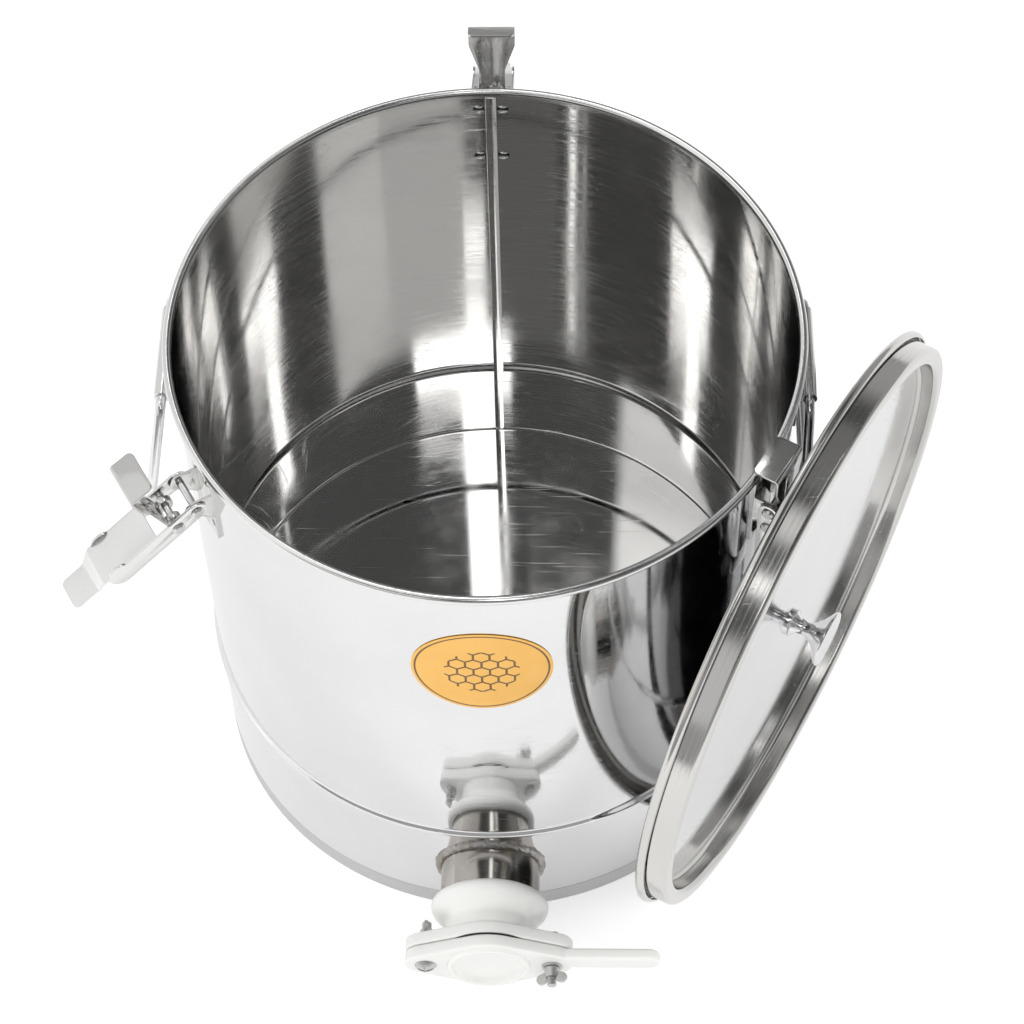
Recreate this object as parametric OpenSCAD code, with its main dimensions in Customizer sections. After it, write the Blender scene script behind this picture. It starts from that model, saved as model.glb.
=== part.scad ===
// Honey settling tank with a swing gate, three toggle latches, two drop handles and a lid.
// The tank stands on z = 0 with its axis on the Z axis and its outlet towards -Y.
// The lid is off and stands on its edge beside the right-hand latch.

/* [Tank] */
// Inside diameter of the tank
bore_d = 350; // [300:1:420]
// Height from the ground to the top of the rim
tank_h = 368; // [330:1:480]
// Thickness of the sheet that the tank is rolled from
wall_t = 0.8; // [0.6:0.1:1.2]
// Outside diameter of the curled rim
curl_d = 5; // [4:0.1:7]
// Angle at which the rim's curl ends
curl_end = -115; // [-120:5:-40]
// Clearance all round the wire inside the curled rim
wire_gap = 0.1; // [0.05:0.01:0.2]
// Height of the swaged bead above the ground
bead_z = 97; // [92:1:140]
// Radius of the swaged bead
bead_r = 2.2; // [1.5:0.1:3]
// Height of the hoop below the hem line
hoop_h = 15.5; // [10:0.5:18]
// Width of the hem groove between the hoop and the wall
hem_gap = 0.6; // [0.2:0.1:1]
// Thickness of the hoop and of its upstand
hoop_t = 2; // [1.5:0.1:3]
// Height of the floor's upper face above the ground
floor_z = 26; // [22:0.5:26]
// Thickness of the floor
floor_t = 1; // [0.8:0.1:2]
// Width of the weld seam on the inside of the wall
seam_w = 3; // [2:0.5:5]
// Height that the weld seam stands proud of the wall
seam_t = 0.3; // [0.2:0.1:0.6]

/* [Label] */
// Diameter of the round label
label_d = 78; // [40:1:100]
// Thickness of the label
label_t = 0.3; // [0.2:0.05:0.5]
// Distance of the label's middle below the rim
label_drop = 78; // [68:1:128]

/* [Outlet] */
// Outside diameter of the outlet pipe
pipe_d = 60.3; // [50:0.1:62]
// Wall thickness of the outlet pipe
pipe_t = 2; // [1.5:0.1:3]
// Height of the outlet's axis above the ground
outlet_z = 54; // [54:0.5:58]
// Distance from the tank's wall to the back of the gate's collar
pipe_show = 24; // [15:1:40]
// Depth that the pipe goes into the gate's collar
socket_l = 9; // [6:0.5:9]
// Width of the weld round the pipe
weld_w = 3.5; // [2:0.5:5]
// Clearance all round the pipe in the wall and in the collar
pipe_gap = 0.1; // [0.05:0.01:0.2]

/* [Gate] */
// Widest diameter of the gate's collar
collar_d = 71.4; // [68:0.1:78]
// Length of the collar and its neck
collar_l = 25; // [24:1:32]
// Diameter of the neck behind the flange
neck_d = 54; // [50:0.5:55]
// Diameter of the round middle of the flange and of the blade
plate_d = 56; // [52:0.5:60]
// Distance from the gate's axis to either bolt
bolt_x = 38; // [37:0.5:44]
// Diameter of the ears round the bolts
ear_d = 25; // [18:0.5:28]
// Thickness of the flange
flange_t = 8; // [6:0.5:12]
// Bore through the neck and the flange
gate_bore_d = 44; // [36:0.5:45]
// Thickness of the blade's plate
blade_t = 8; // [5:0.5:10]
// Gap between the flange and the blade
blade_gap = 0.6; // [0.4:0.1:1]
// Diameter of the raised boss on the blade
boss_d = 49.6; // [46:0.2:52]
// Height of the raised boss on the blade
boss_h = 2.5; // [1:0.5:4]
// Diameter of the round recess in the boss
recess_d = 43.6; // [36:0.2:44]
// Depth of the round recess
recess_h = 3.5; // [2:0.5:5]
// Distance from the gate's axis to the end of the handle
handle_reach = 103; // [90:1:120]
// Width of the blade's handle
handle_w = 14; // [10:0.5:18]
// Height of the handle's middle above the gate's axis
handle_rise = 3; // [0:0.5:5]
// Width of the rubber seal
seal_w = 2.2; // [1.5:0.1:3]
// Depth of the groove for the seal
seal_h = 1.5; // [1:0.1:2]
// Height that the seal stands proud of the flange
seal_proud = 0.4; // [0.2:0.05:0.4]

/* [Gate bolts] */
// Diameter of the two bolts
bolt_d = 6; // [5:0.5:6.5]
// Diameter of the pivot screw's domed head
screw_head_d = 13; // [10:0.5:15]
// Height of the pivot screw's domed head
screw_head_h = 3.4; // [2:0.2:5]
// Width of the slots in the screw's head
screw_slot_w = 1.6; // [1:0.1:2]
// Distance across the flats of the clamp bolt's head
bolt_flats = 10; // [8:0.5:11]
// Height of the clamp bolt's head
bolt_head_h = 4; // [3:0.5:6]
// Thickness of the washers
washer_t = 1.2; // [0.8:0.1:2]
// Outside diameter of the washers
washer_d = 12; // [10:0.5:14]
// Diameter of a wing nut's hub
hub_d = 9.6; // [9:0.2:11]
// Height of a wing nut's hub
hub_h = 6; // [5:0.5:7]
// Distance from a wing nut's axis to the end of its wings
wing_reach = 9.6; // [8:0.1:9.8]
// Height of a wing nut over its wings
wing_h = 9.6; // [8:0.2:10]
// Thickness of the wings
wing_t = 2.2; // [1.5:0.1:3]
// Angle of the clamp nut's wings
nut_turn = 20; // [0:1:180]
// Length of thread that shows beyond a wing nut's hub
bolt_show = 5; // [2:0.5:8]

/* [Latches] */
// Distance from the wall to the lever's pin
pin_out = 11.2; // [10.5:0.1:14]
// Height of the rim above the lever's pin
pin_drop = 29; // [28:0.5:40]
// Diameter of the pins
pin_d = 4.4; // [3.5:0.1:4.6]
// Diameter of the pins' heads
pin_head_d = 7.4; // [6:0.1:9]
// Height of the pins' heads
pin_head_h = 1.6; // [1:0.1:2.5]
// Thickness of the latches' sheet
latch_t = 1.5; // [1:0.1:1.8]
// Half the distance between the ears of the latch base
ear_in = 9.5; // [9:0.1:12]
// Radius of the ears and of the lever's end round the pin
eye_r = 6; // [4:0.1:6.5]
// Height of the latch base's back plate below the lever's pin
base_low = 36; // [30:1:45]
// Gap between the rim's curl and the latch base's back plate
base_top_gap = 4; // [2:0.5:8]
// Distance between the lever's pin and the hook's pin
pin_pitch = 14; // [12.5:0.5:16]
// Length of the lever's channel below the lever's pin
lever_l = 63; // [55:1:75]
// Distance from the lever's pin to the edge of the window in its web
window_l = 25.5; // [22:0.5:30]
// Distance from the lever's pin to the outer face of its web
web_out = 6.8; // [6.2:0.1:8]
// Radius of the rounded end of the lever's cheeks
cheek_r = 8; // [3:0.5:10]
// Length of the lever's tongue
tongue_l = 26; // [20:1:32]
// Width of the lever's tongue
tongue_w = 20; // [14:0.5:22]
// Distance that the tongue is set in towards the wall
tongue_set = 4.5; // [2:0.5:6]
// Thickness of the hook's sheet
hook_t = 1.5; // [1:0.1:1.8]
// Width of the hook at its top
hook_w = 28; // [22:0.5:30]
// Width of the hook's stem
stem_w = 16; // [14:0.5:17]
// Depth of the hook's flange
hook_reach = 16; // [13:0.5:17]
// Radius of the bend at the hook's top
hook_bend_r = 3; // [2:0.5:4]
// Width of the pressed rib on the hook
rib_w = 9.6; // [6:0.2:12]
// Height of the pressed rib on the hook
rib_t = 0.8; // [0.4:0.1:1]
// Width of each knuckle of the hook
knuckle_w = 4; // [3:0.5:5]
// Diameter of the latch rivets' heads
rivet_d = 7; // [5:0.5:8]
// Height of the latch rivets' heads
rivet_h = 1.4; // [1:0.1:1.8]
// Angle of an open lever from hanging straight down
lever_open = 60; // [40:1:80]
// Angle of an open hook from upright
hook_lean = 25; // [15:1:30]

/* [Handles] */
// Diameter of the handle's rod
rod_d = 6; // [5:0.1:8]
// Distance from the wall to the axis of the handle's barrel
barrel_out = 5; // [4.6:0.1:7]
// Outside diameter of the handle's barrel
barrel_d = 9; // [8.5:0.1:11]
// Length of the handle's barrel
barrel_l = 62; // [50:1:70]
// Height of the rim above the handle's barrel
barrel_drop = 24; // [20:1:40]
// Height of the bracket's plate below the barrel
plate_drop = 26; // [18:1:40]
// Thickness of the bracket's plate
plate_t = 1.6; // [1:0.1:2]
// Slope of the handle's legs
leg_slope = 65; // [55:1:75]
// Drop from the barrel to the grip
grip_drop = 54; // [45:1:70]
// Bend radius at the rod's axis
rod_bend = 9; // [8:0.5:12]
// Gap between the rod's bend and the end of the barrel
rod_gap = 1; // [0.5:0.1:2]
// Depth that each end of the rod goes into the barrel
rod_in = 24; // [15:1:26]
// Angle that the left-hand handle stands out from the wall
left_swing = 10; // [0:1:20]

/* [Lid] */
// Thickness of the lid's sheet
lid_t = 0.8; // [0.6:0.1:1.2]
// Clearance between the rim and the lid's skirt
skirt_gap = 1; // [0.5:0.1:2]
// Height of the lid's skirt from its ring to the middle of its curled edge
skirt_h = 15.5; // [13:0.5:20]
// Diameter of the curled edge of the skirt
lid_curl_d = 5.4; // [4:0.1:6]
// Angle at which the skirt's curl ends
lid_curl_end = 450; // [400:5:460]
// Clearance between the tank's bore and the lid's inner wall
plug_gap = 3.3; // [2:0.1:5]
// Depth of the recessed disc below the lid's ring
dish_h = 12; // [8:0.5:14]
// Radius of the lid's rounded corners
lid_round = 3; // [2:0.1:3.6]
// Thickness of the gasket
gasket_t = 2.4; // [1.5:0.1:4]
// Gap between the standing lid and the closed lever, along the tank's radius
lid_stand_gap = 2.4; // [2:0.1:6]
// Distance that the lid's axis lies to the side of the tank's axis
lid_side = 16; // [0:1:20]
// Bearing of the way that the lid's top faces
lid_bearing = -28.5; // [-31:0.5:-27]
// Angle that the standing lid leans away from the tank
lid_lean = 2.25; // [2:0.05:3]
// Diameter of the knob's flared end
knob_d = 35; // [25:1:40]
// Diameter of the knob's base
knob_base_d = 17; // [12:1:22]
// Diameter of the knob's stem
knob_stem_d = 8.4; // [8:0.2:11]
// Height of the knob
knob_h = 25; // [20:1:32]
// Diameter of the knob's screw
knob_screw_d = 5; // [4:0.5:5.5]
// Length of the knob's screw inside the knob
knob_screw_l = 14; // [8:1:16]

/* [Hidden] */
// Overrun of every cut past the face that it leaves
over = 1;
// Running clearance all round a turning pin, rod or bolt
run = 0.05;
// Clearance all round a bolt or rivet in a fixed hole
fit = 0.05;
// Gap between pieces that slide on each other
slide_gap = 0.3;
$fn = 96;
// Sides of the round cuts that follow the tank's wall
wall_fn = 360;

// Radii of the collar's outline as shares of its widest radius, beside their places along the collar
collar_r_shares = [0.94, 0.985, 1, 0.995, 0.965, 0.905, 0.84, 0.79];
collar_z_shares = [0, 0.05, 0.12, 0.2, 0.29, 0.39, 0.48, 0.56];
// Radii of the knob's outline as shares of its flared radius, beside their heights
knob_r_shares = [0.42, 0.46, 0.62, 0.84, 0.97, 1, 0.97];
knob_z_shares = [0.45, 0.62, 0.76, 0.86, 0.91, 0.95, 1];
// Rivets' places on a latch base, across it and up it, as shares of its half width and its height
rivet_x_shares = [-0.75, 0.75, -0.75, 0.75];
rivet_z_shares = [0.16, 0.16, 0.9, 0.9];
// Part of the screw head's radius that its slots reach, and of its height that they are deep
slot_reach_share = 0.62;
slot_depth_share = 0.5;
// Part of the tongue's length that its bend takes
tongue_bend_share = 0.42;
// Part of the hook above its stem that its taper takes
taper_share = 0.55;
// Place along the collar where its neck starts
neck_share = 0.64;
// Flat part of a pin head's radius
head_flat_share = 0.7;
// Width of a wing nut's hub at its top as a share of its width at its seat
hub_top_share = 0.82;
// Radius of the slight swell at the ends of a bend as a share of the rod's radius
swell_share = 1.02;
// Part of the knob's height that its base takes
knob_base_share = 0.1;

latch_names = ["back", "left", "right"];
latch_bearings = [90, 210, 330];
handle_bearings = [180, 0];

bore_r = bore_d / 2;
tank_r = bore_r + wall_t;
label_z = tank_h - label_drop;
curl_r = curl_d / 2;
rim_r = bore_r + curl_d;
curl_c = bore_r + curl_r;
curl_z = tank_h - curl_r;
wall_z = hoop_h + hem_gap;

pipe_r = pipe_d / 2;
pipe_bore_r = pipe_r - pipe_t;
collar_back = tank_r + pipe_show;
flange_back = collar_back + collar_l;
flange_face = flange_back + flange_t;
blade_back = flange_face + blade_gap;
blade_face = blade_back + blade_t;
seal_in_r = gate_bore_d / 2 + (boss_d - gate_bore_d) / 4;
slot_gap = bolt_d / 10;

pin_r = pin_d / 2;
latch_r = tank_r + pin_out;
latch_z = tank_h - pin_drop;
lever_in = ear_in + latch_t + slide_gap;
lever_half = lever_in + latch_t;
head_gap = slide_gap / 2;
hook_in = pin_r + pin_d / 4;
knuckle_r = hook_in + hook_t;
lid_ring_z = tank_h + gasket_t + lid_t;
hook_l = lid_ring_z + slide_gap + hook_t - latch_z + pin_pitch;
stem_l = pin_pitch + eye_r;
base_z = latch_z - base_low;
base_h = tank_h - curl_d - base_top_gap - base_z;
latch_open = [lever_open, lever_open, 0];
latch_lean = [hook_lean, hook_lean, 0];
taper_l = (hook_l - stem_l) * taper_share;

rod_r = rod_d / 2;
barrel_r = tank_r + barrel_out;
barrel_z = tank_h - barrel_drop;

skirt_in = rim_r + skirt_gap;
skirt_r = skirt_in + lid_t;
lid_curl_r = lid_curl_d / 2;
lid_curl_c = skirt_in + lid_curl_r;
lid_r = skirt_in + lid_curl_d;
plug_r = bore_r - plug_gap;
lever_face = latch_r + web_out;
lid_dist = lever_face + lid_stand_gap + (skirt_h + lid_curl_r) * cos(lid_lean) - lid_r * sin(lid_lean);
lid_z = lid_curl_c * cos(lid_lean) + lid_curl_r - skirt_h * sin(lid_lean);
knob_screw_head = knob_screw_d * 2;
knob_washer_d = knob_screw_d * 3;
knob_washer_t = knob_screw_d / 5;

// Points of an arc about [x, y], from angle a to angle b
function arc(x, y, r, a, b, steps = 8) =
    [for (i = [0 : steps]) let (t = a + (b - a) * i / steps) [x + r * cos(t), y + r * sin(t)]];

// A ring between two radii, from z = 0 up
module ring(r_in, r_out, h) {
    difference() {
        cylinder(r = r_out, h = h);
        translate([0, 0, -over])
            cylinder(r = r_in, h = h + 2 * over);
    }
}

// A pin along Y with a flat-domed head at each end, between y = -half and y = half
module headed_pin(r, half, head_r, head_h) {
    rotate([90, 0, 0])
        rotate_extrude()
            polygon([
                [0, -half - head_h],
                [head_r * head_flat_share, -half - head_h],
                [head_r, -half - head_h / 2],
                [head_r, -half],
                [r, -half],
                [r, half],
                [head_r, half],
                [head_r, half + head_h / 2],
                [head_r * head_flat_share, half + head_h],
                [0, half + head_h]
            ]);
}

// Places its children on the outlet: local z runs outwards from the tank's axis, local y is up
module at_outlet(z = 0) {
    translate([0, -z, outlet_z])
        rotate([90, 0, 0])
            children();
}

// The wall in section: straight sheet, swaged bead and a rim curled outwards round its wire
module wall_section() {
    bead_edge = acos(wall_t / (bead_r + wall_t));
    polygon(concat(
        [[bore_r, wall_z]],
        arc(bore_r, bead_z, bead_r, -90, 90, 16),
        arc(curl_c, curl_z, curl_r, 180, curl_end, 32),
        arc(curl_c, curl_z, curl_r - wall_t, curl_end, 180, 32),
        arc(bore_r, bead_z, bead_r + wall_t, bead_edge, -bead_edge, 16),
        [[tank_r, wall_z]]
    ));
}

module tank_shell() {
    color("gainsboro") {
        difference() {
            rotate_extrude()
                wall_section();
            at_outlet()
                cylinder(r = pipe_r + pipe_gap, h = rim_r);
            for (a = latch_bearings)
                rotate([0, 0, a])
                    rivet_holes();
        }
        // Weld seam down the back of the wall
        intersection() {
            translate([0, 0, floor_z])
                ring(bore_r - seam_t, bore_r + wall_t / 2, curl_z - curl_r - floor_z);
            translate([-seam_w / 2, 0, 0])
                cube([seam_w, tank_r, tank_h]);
        }
    }
}

module rim_wire() {
    color("silver")
        rotate_extrude()
            translate([curl_c, curl_z])
                circle(r = curl_r - wall_t - wire_gap);
}

module tank_floor() {
    color("gainsboro")
        translate([0, 0, floor_z - floor_t])
            cylinder(r = bore_r - pipe_gap, h = floor_t);
}

// Hoop under the wall, with an upstand inside the wall that carries the floor
module base_hoop() {
    color("silver") {
        ring(tank_r - hoop_t, tank_r, hoop_h);
        translate([0, 0, hoop_h - hoop_t])
            ring(bore_r - pipe_gap - hoop_t, bore_r - pipe_gap, floor_z - floor_t - hoop_h + hoop_t);
    }
}

module front_label() {
    color("goldenrod")
        intersection() {
            translate([0, 0, label_z - label_d])
                ring(tank_r, tank_r + label_t, 2 * label_d);
            translate([0, 0, label_z])
                rotate([90, 0, 0])
                    cylinder(d = label_d, h = rim_r);
        }
}

module outlet_pipe() {
    color("darkgray")
        difference() {
            at_outlet()
                ring(pipe_bore_r, pipe_r, collar_back + socket_l);
            cylinder(r = bore_r, h = tank_h);
        }
}

module pipe_weld() {
    color("gray")
        intersection() {
            translate([0, 0, outlet_z - pipe_d])
                ring(tank_r, tank_r + weld_w, 2 * pipe_d);
            at_outlet()
                ring(pipe_r, pipe_r + weld_w, rim_r);
        }
}

// Rod of a drop handle, hanging in the plane x = 0 from the barrel's axis along Y
module handle_rod() {
    bend_y = barrel_l / 2 + rod_gap;
    leg_top = rod_bend * tan(leg_slope / 2);
    leg_low = rod_bend * tan(90 - leg_slope / 2);
    corner_y = bend_y + leg_top;
    grip_half = corner_y + grip_drop / tan(leg_slope);
    for (side = [0, 1])
        mirror([0, side, 0]) {
            // End in the barrel
            translate([0, barrel_l / 2 - rod_in, 0])
                rotate([-90, 0, 0])
                    cylinder(r = rod_r, h = rod_in + rod_gap);
            rod_bow(bend_y, -rod_bend, 90 - leg_slope, leg_slope);
            translate([0, corner_y, 0])
                rotate([-90 - leg_slope, 0, 0])
                    translate([0, 0, leg_top])
                        cylinder(r = rod_r, h = grip_drop / sin(leg_slope) - leg_top - leg_low);
            rod_bow(grip_half - leg_low, rod_bend - grip_drop, -90, 180 - leg_slope);
        }
    // Grip
    translate([0, leg_low - grip_half, -grip_drop])
        rotate([-90, 0, 0])
            cylinder(r = rod_r, h = 2 * (grip_half - leg_low));
}

// Bend of the rod about [y, z] in the plane x = 0, from angle a on, with a slight swell at each end
module rod_bow(y, z, a, turn) {
    translate([0, y, z])
        rotate([90, 0, 90])
            rotate([0, 0, a]) {
                rotate_extrude(angle = turn)
                    translate([rod_bend, 0])
                        circle(r = rod_r);
                for (end = [0, turn])
                    rotate([0, 0, end])
                        translate([rod_bend, 0, 0])
                            sphere(r = rod_r * swell_share);
            }
}

module handle(bearing, swing) {
    color("silver")
        rotate([0, 0, bearing])
            translate([barrel_r, 0, barrel_z])
                rotate([0, -swing, 0])
                    handle_rod();
}

// Plate on the wall, with a barrel for the ends of the handle's rod
module handle_bracket(bearing) {
    color("lightgray")
        rotate([0, 0, bearing])
            difference() {
                union() {
                    intersection() {
                        translate([0, 0, barrel_z - plate_drop])
                            ring(tank_r, tank_r + plate_t, plate_drop, $fn = wall_fn);
                        translate([0, -barrel_l / 2, 0])
                            cube([rim_r + plate_t, barrel_l, tank_h]);
                    }
                    translate([barrel_r, barrel_l / 2, barrel_z])
                        rotate([90, 0, 0])
                            cylinder(d = barrel_d, h = barrel_l);
                    translate([bore_r - barrel_out, -barrel_l / 2, barrel_z - barrel_d / 4])
                        cube([wall_t + 2 * barrel_out, barrel_l, barrel_d / 2]);
                }
                cylinder(r = tank_r, h = tank_h, $fn = wall_fn);
                translate([barrel_r, barrel_l / 2 + over, barrel_z])
                    rotate([90, 0, 0])
                        cylinder(r = rod_r + run, h = barrel_l + 2 * over);
            }
}

// Outline shared by the flange and the blade: a round middle between two ears, with straight sides
module gate_outline() {
    mid_r = plate_d / 2;
    ear_r = ear_d / 2;
    side = acos((mid_r - ear_r) / bolt_x);
    polygon(concat(
        arc(bolt_x, 0, ear_r, -side, side, 24),
        arc(0, 0, mid_r, side, 180 - side, 16),
        arc(-bolt_x, 0, ear_r, 180 - side, 180 + side, 24),
        arc(0, 0, mid_r, 180 + side, 360 - side, 16)
    ));
}

module gate_body() {
    outline = [
        for (i = [0 : len(collar_r_shares) - 1])
            [collar_d / 2 * collar_r_shares[i], collar_back + collar_l * collar_z_shares[i]]
    ];
    neck_z = collar_back + collar_l * neck_share;
    color("white")
        at_outlet()
            difference() {
                union() {
                    rotate_extrude()
                        polygon(concat(
                            [[0, collar_back]],
                            outline,
                            [[neck_d / 2, neck_z], [neck_d / 2, flange_face], [0, flange_face]]
                        ));
                    translate([0, 0, flange_back])
                        linear_extrude(flange_t)
                            gate_outline();
                }
                translate([0, 0, collar_back - over])
                    cylinder(r = pipe_r + pipe_gap, h = socket_l + over);
                translate([0, 0, collar_back])
                    cylinder(d = gate_bore_d, h = collar_l + flange_t + over);
                for (d = [-bolt_x, bolt_x])
                    translate([d, 0, flange_back - over])
                        cylinder(r = bolt_d / 2 + fit, h = flange_t + 2 * over);
                translate([0, 0, flange_face - seal_h])
                    ring(seal_in_r, seal_in_r + seal_w, seal_h + over);
            }
}

module gate_seal() {
    color("black")
        at_outlet()
            translate([0, 0, flange_face - seal_h])
                ring(seal_in_r + fit, seal_in_r + seal_w - fit, seal_h + seal_proud);
}

// Slot for the clamp bolt: an arc about the pivot that is open below the ear
module clamp_slot() {
    slot_r = bolt_d / 2 + slot_gap;
    swing_r = 2 * bolt_x;
    turn = asin(ear_d / swing_r);
    steps = 8;
    polygon(concat(
        arc(bolt_x, 0, slot_r, 0, 180, 2 * steps),
        arc(-bolt_x, 0, swing_r - slot_r, -turn / steps, -turn, steps),
        arc(-bolt_x, 0, swing_r + slot_r, -turn, -turn / steps, steps)
    ));
}

// Straight handle of the blade with a round end
module blade_handle() {
    half = handle_w / 2;
    polygon(concat(
        [[bolt_x, handle_rise - half]],
        arc(handle_reach - half, handle_rise, half, -90, 90, 24),
        [[bolt_x, handle_rise + half]]
    ));
}

module gate_blade() {
    color("white")
        at_outlet(blade_back)
            difference() {
                union() {
                    linear_extrude(blade_t) {
                        gate_outline();
                        blade_handle();
                    }
                    cylinder(d = boss_d, h = blade_t + boss_h);
                }
                translate([0, 0, blade_t + boss_h - recess_h])
                    cylinder(d = recess_d, h = recess_h + over);
                translate([-bolt_x, 0, -over])
                    cylinder(r = bolt_d / 2 + run, h = blade_t + 2 * over);
                translate([0, 0, -over])
                    linear_extrude(blade_t + 2 * over)
                        clamp_slot();
            }
}

// Domed head that seats on z = 0
module domed_head(r, h) {
    dome_r = (r * r + h * h) / (2 * h);
    edge = asin(r / dome_r);
    rotate_extrude()
        polygon(concat([[0, 0]], arc(0, h - dome_r, dome_r, 90 - edge, 90)));
}

// Domed screw that the blade swings on, with crossed slots in its head
module pivot_screw() {
    head_z = blade_face + slide_gap;
    tail_z = flange_back - slide_gap - hub_h - bolt_show;
    slot_l = screw_head_d * slot_reach_share;
    slot_h = screw_head_h * slot_depth_share;
    color("dimgray")
        at_outlet()
            translate([-bolt_x, 0, 0])
                difference() {
                    union() {
                        translate([0, 0, tail_z])
                            cylinder(d = bolt_d, h = head_z - tail_z + screw_head_h / 3);
                        translate([0, 0, head_z])
                            domed_head(screw_head_d / 2, screw_head_h);
                    }
                    for (a = [0, 90])
                        rotate([0, 0, a])
                            translate([-slot_l / 2, -screw_slot_w / 2, head_z + screw_head_h - slot_h])
                                cube([slot_l, screw_slot_w, slot_h + over]);
                }
}

// Wing nut that seats on z = 0, with its wings along X
module wing_nut() {
    tip_r = wing_reach / 3;
    tip_x = wing_reach - tip_r;
    tip_z = wing_h - tip_r;
    lean = atan2(tip_z - hub_h / 2, tip_x);
    difference() {
        union() {
            cylinder(d1 = hub_d, d2 = hub_d * hub_top_share, h = hub_h);
            for (s = [0, 180])
                rotate([0, 0, s])
                    translate([0, wing_t / 2, 0])
                        rotate([90, 0, 0])
                            linear_extrude(wing_t) {
                                translate([tip_x, tip_z])
                                    circle(r = tip_r);
                                polygon([
                                    [0, hub_h / 8],
                                    [tip_x + tip_r * sin(lean), tip_z - tip_r * cos(lean)],
                                    [tip_x - tip_r * sin(lean), tip_z + tip_r * cos(lean)],
                                    [0, hub_h]
                                ]);
                            }
        }
        translate([0, 0, -over])
            cylinder(r = bolt_d / 2 + run, h = wing_h + 2 * over);
    }
}

module pivot_wing_nut() {
    color("dimgray")
        at_outlet(flange_back - slide_gap)
            translate([-bolt_x, 0, 0])
                rotate([180, 0, 0])
                    rotate([0, 0, 90])
                        wing_nut();
}

module clamp_bolt() {
    tip_z = blade_face + 2 * slide_gap + washer_t + hub_h + bolt_show;
    color("dimgray")
        at_outlet()
            translate([bolt_x, 0, 0]) {
                translate([0, 0, flange_back - bolt_head_h])
                    cylinder(d = bolt_flats / cos(30), h = bolt_head_h, $fn = 6);
                translate([0, 0, flange_back - bolt_head_h])
                    cylinder(d = bolt_d, h = tip_z - flange_back + bolt_head_h);
            }
}

module clamp_washer() {
    color("darkgray")
        at_outlet(blade_face + slide_gap)
            translate([bolt_x, 0, 0])
                ring(bolt_d / 2 + fit, washer_d / 2, washer_t);
}

module clamp_wing_nut() {
    color("dimgray")
        at_outlet(blade_face + 2 * slide_gap + washer_t)
            translate([bolt_x, 0, 0])
                rotate([0, 0, nut_turn])
                    wing_nut();
}

// Places of a latch's rivets: children get the place across the base and the height
module at_rivets() {
    for (i = [0 : len(rivet_x_shares) - 1])
        translate([0, rivet_x_shares[i] * ear_in, base_z + rivet_z_shares[i] * base_h])
            children();
}

module rivet_holes() {
    at_rivets()
        rotate([0, 90, 0])
            cylinder(r = rivet_d / 4 + fit, h = latch_r);
}

// Back plate on the wall and two ears that hold the lever's pin
module latch_base(bearing) {
    plate_w = ear_in + latch_t;
    color("lightgray")
        rotate([0, 0, bearing])
            difference() {
                union() {
                    translate([bore_r - latch_t, -plate_w, base_z])
                        cube([wall_t + 2 * latch_t, 2 * plate_w, base_h]);
                    for (y = [-ear_in, plate_w])
                        translate([0, y, latch_z])
                            rotate([90, 0, 0])
                                linear_extrude(latch_t)
                                    polygon(concat(
                                        [[bore_r, -eye_r - pin_out]],
                                        arc(latch_r, 0, eye_r, -90, 90, 24),
                                        [[bore_r, eye_r]]
                                    ));
                }
                cylinder(r = tank_r, h = tank_h, $fn = wall_fn);
                rivet_holes();
                translate([latch_r, plate_w + over, latch_z])
                    rotate([90, 0, 0])
                        cylinder(r = pin_r + fit, h = 2 * plate_w + 2 * over);
            }
}

// Rivets through the back plate and the tank's wall, headed on both sides
module latch_rivets(bearing) {
    reach = max(rivet_x_shares) * ear_in + rivet_d / 2;
    seat = sqrt(pow(bore_r, 2) - pow(reach, 2));
    plate = tank_r + latch_t;
    color("silver")
        rotate([0, 0, bearing])
            at_rivets()
                rotate([0, 90, 0]) {
                    translate([0, 0, seat - rivet_h / 2])
                        cylinder(d = rivet_d / 2, h = plate - seat + rivet_h);
                    translate([0, 0, plate])
                        domed_head(rivet_d / 2, rivet_h);
                    translate([0, 0, seat])
                        rotate([180, 0, 0])
                            domed_head(rivet_d / 2, rivet_h);
                }
}

// Places its children at a latch's lever pin, turned out by the lever's angle
module at_lever(bearing, open) {
    rotate([0, 0, bearing])
        translate([latch_r, 0, latch_z])
            rotate([0, -open, 0])
                children();
}

// Places its children at a latch's hook pin, with the hook leaning out by its own angle
module at_hook(bearing, open, lean) {
    at_lever(bearing, open)
        translate([0, 0, -pin_pitch])
            rotate([0, open + lean, 0])
                children();
}

module base_pin(bearing) {
    color("silver")
        at_lever(bearing, 0)
            headed_pin(pin_r, lever_half + head_gap, pin_head_d / 2, pin_head_h);
}

module hook_pin(bearing, open) {
    color("silver")
        at_lever(bearing, open)
            translate([0, 0, -pin_pitch])
                headed_pin(pin_r, lever_half, pin_head_d / 2, pin_head_h);
}

// One cheek of the lever seen from the side, with its pin at the origin
module cheek_outline() {
    circle(r = eye_r);
    translate([-eye_r, cheek_r - lever_l])
        square([eye_r + web_out, lever_l - cheek_r]);
    translate([cheek_r - eye_r, cheek_r - lever_l])
        circle(r = cheek_r);
    translate([cheek_r - eye_r, -lever_l])
        square([web_out + eye_r - cheek_r, lever_l]);
}

// Points along the tongue's bend, for one face of its sheet
function tongue_side(x) = [
    for (i = [0 : 12])
        [x - tongue_set * (1 - cos(180 * i / 12)) / 2, -lever_l - tongue_l * tongue_bend_share * i / 12]
];

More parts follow.
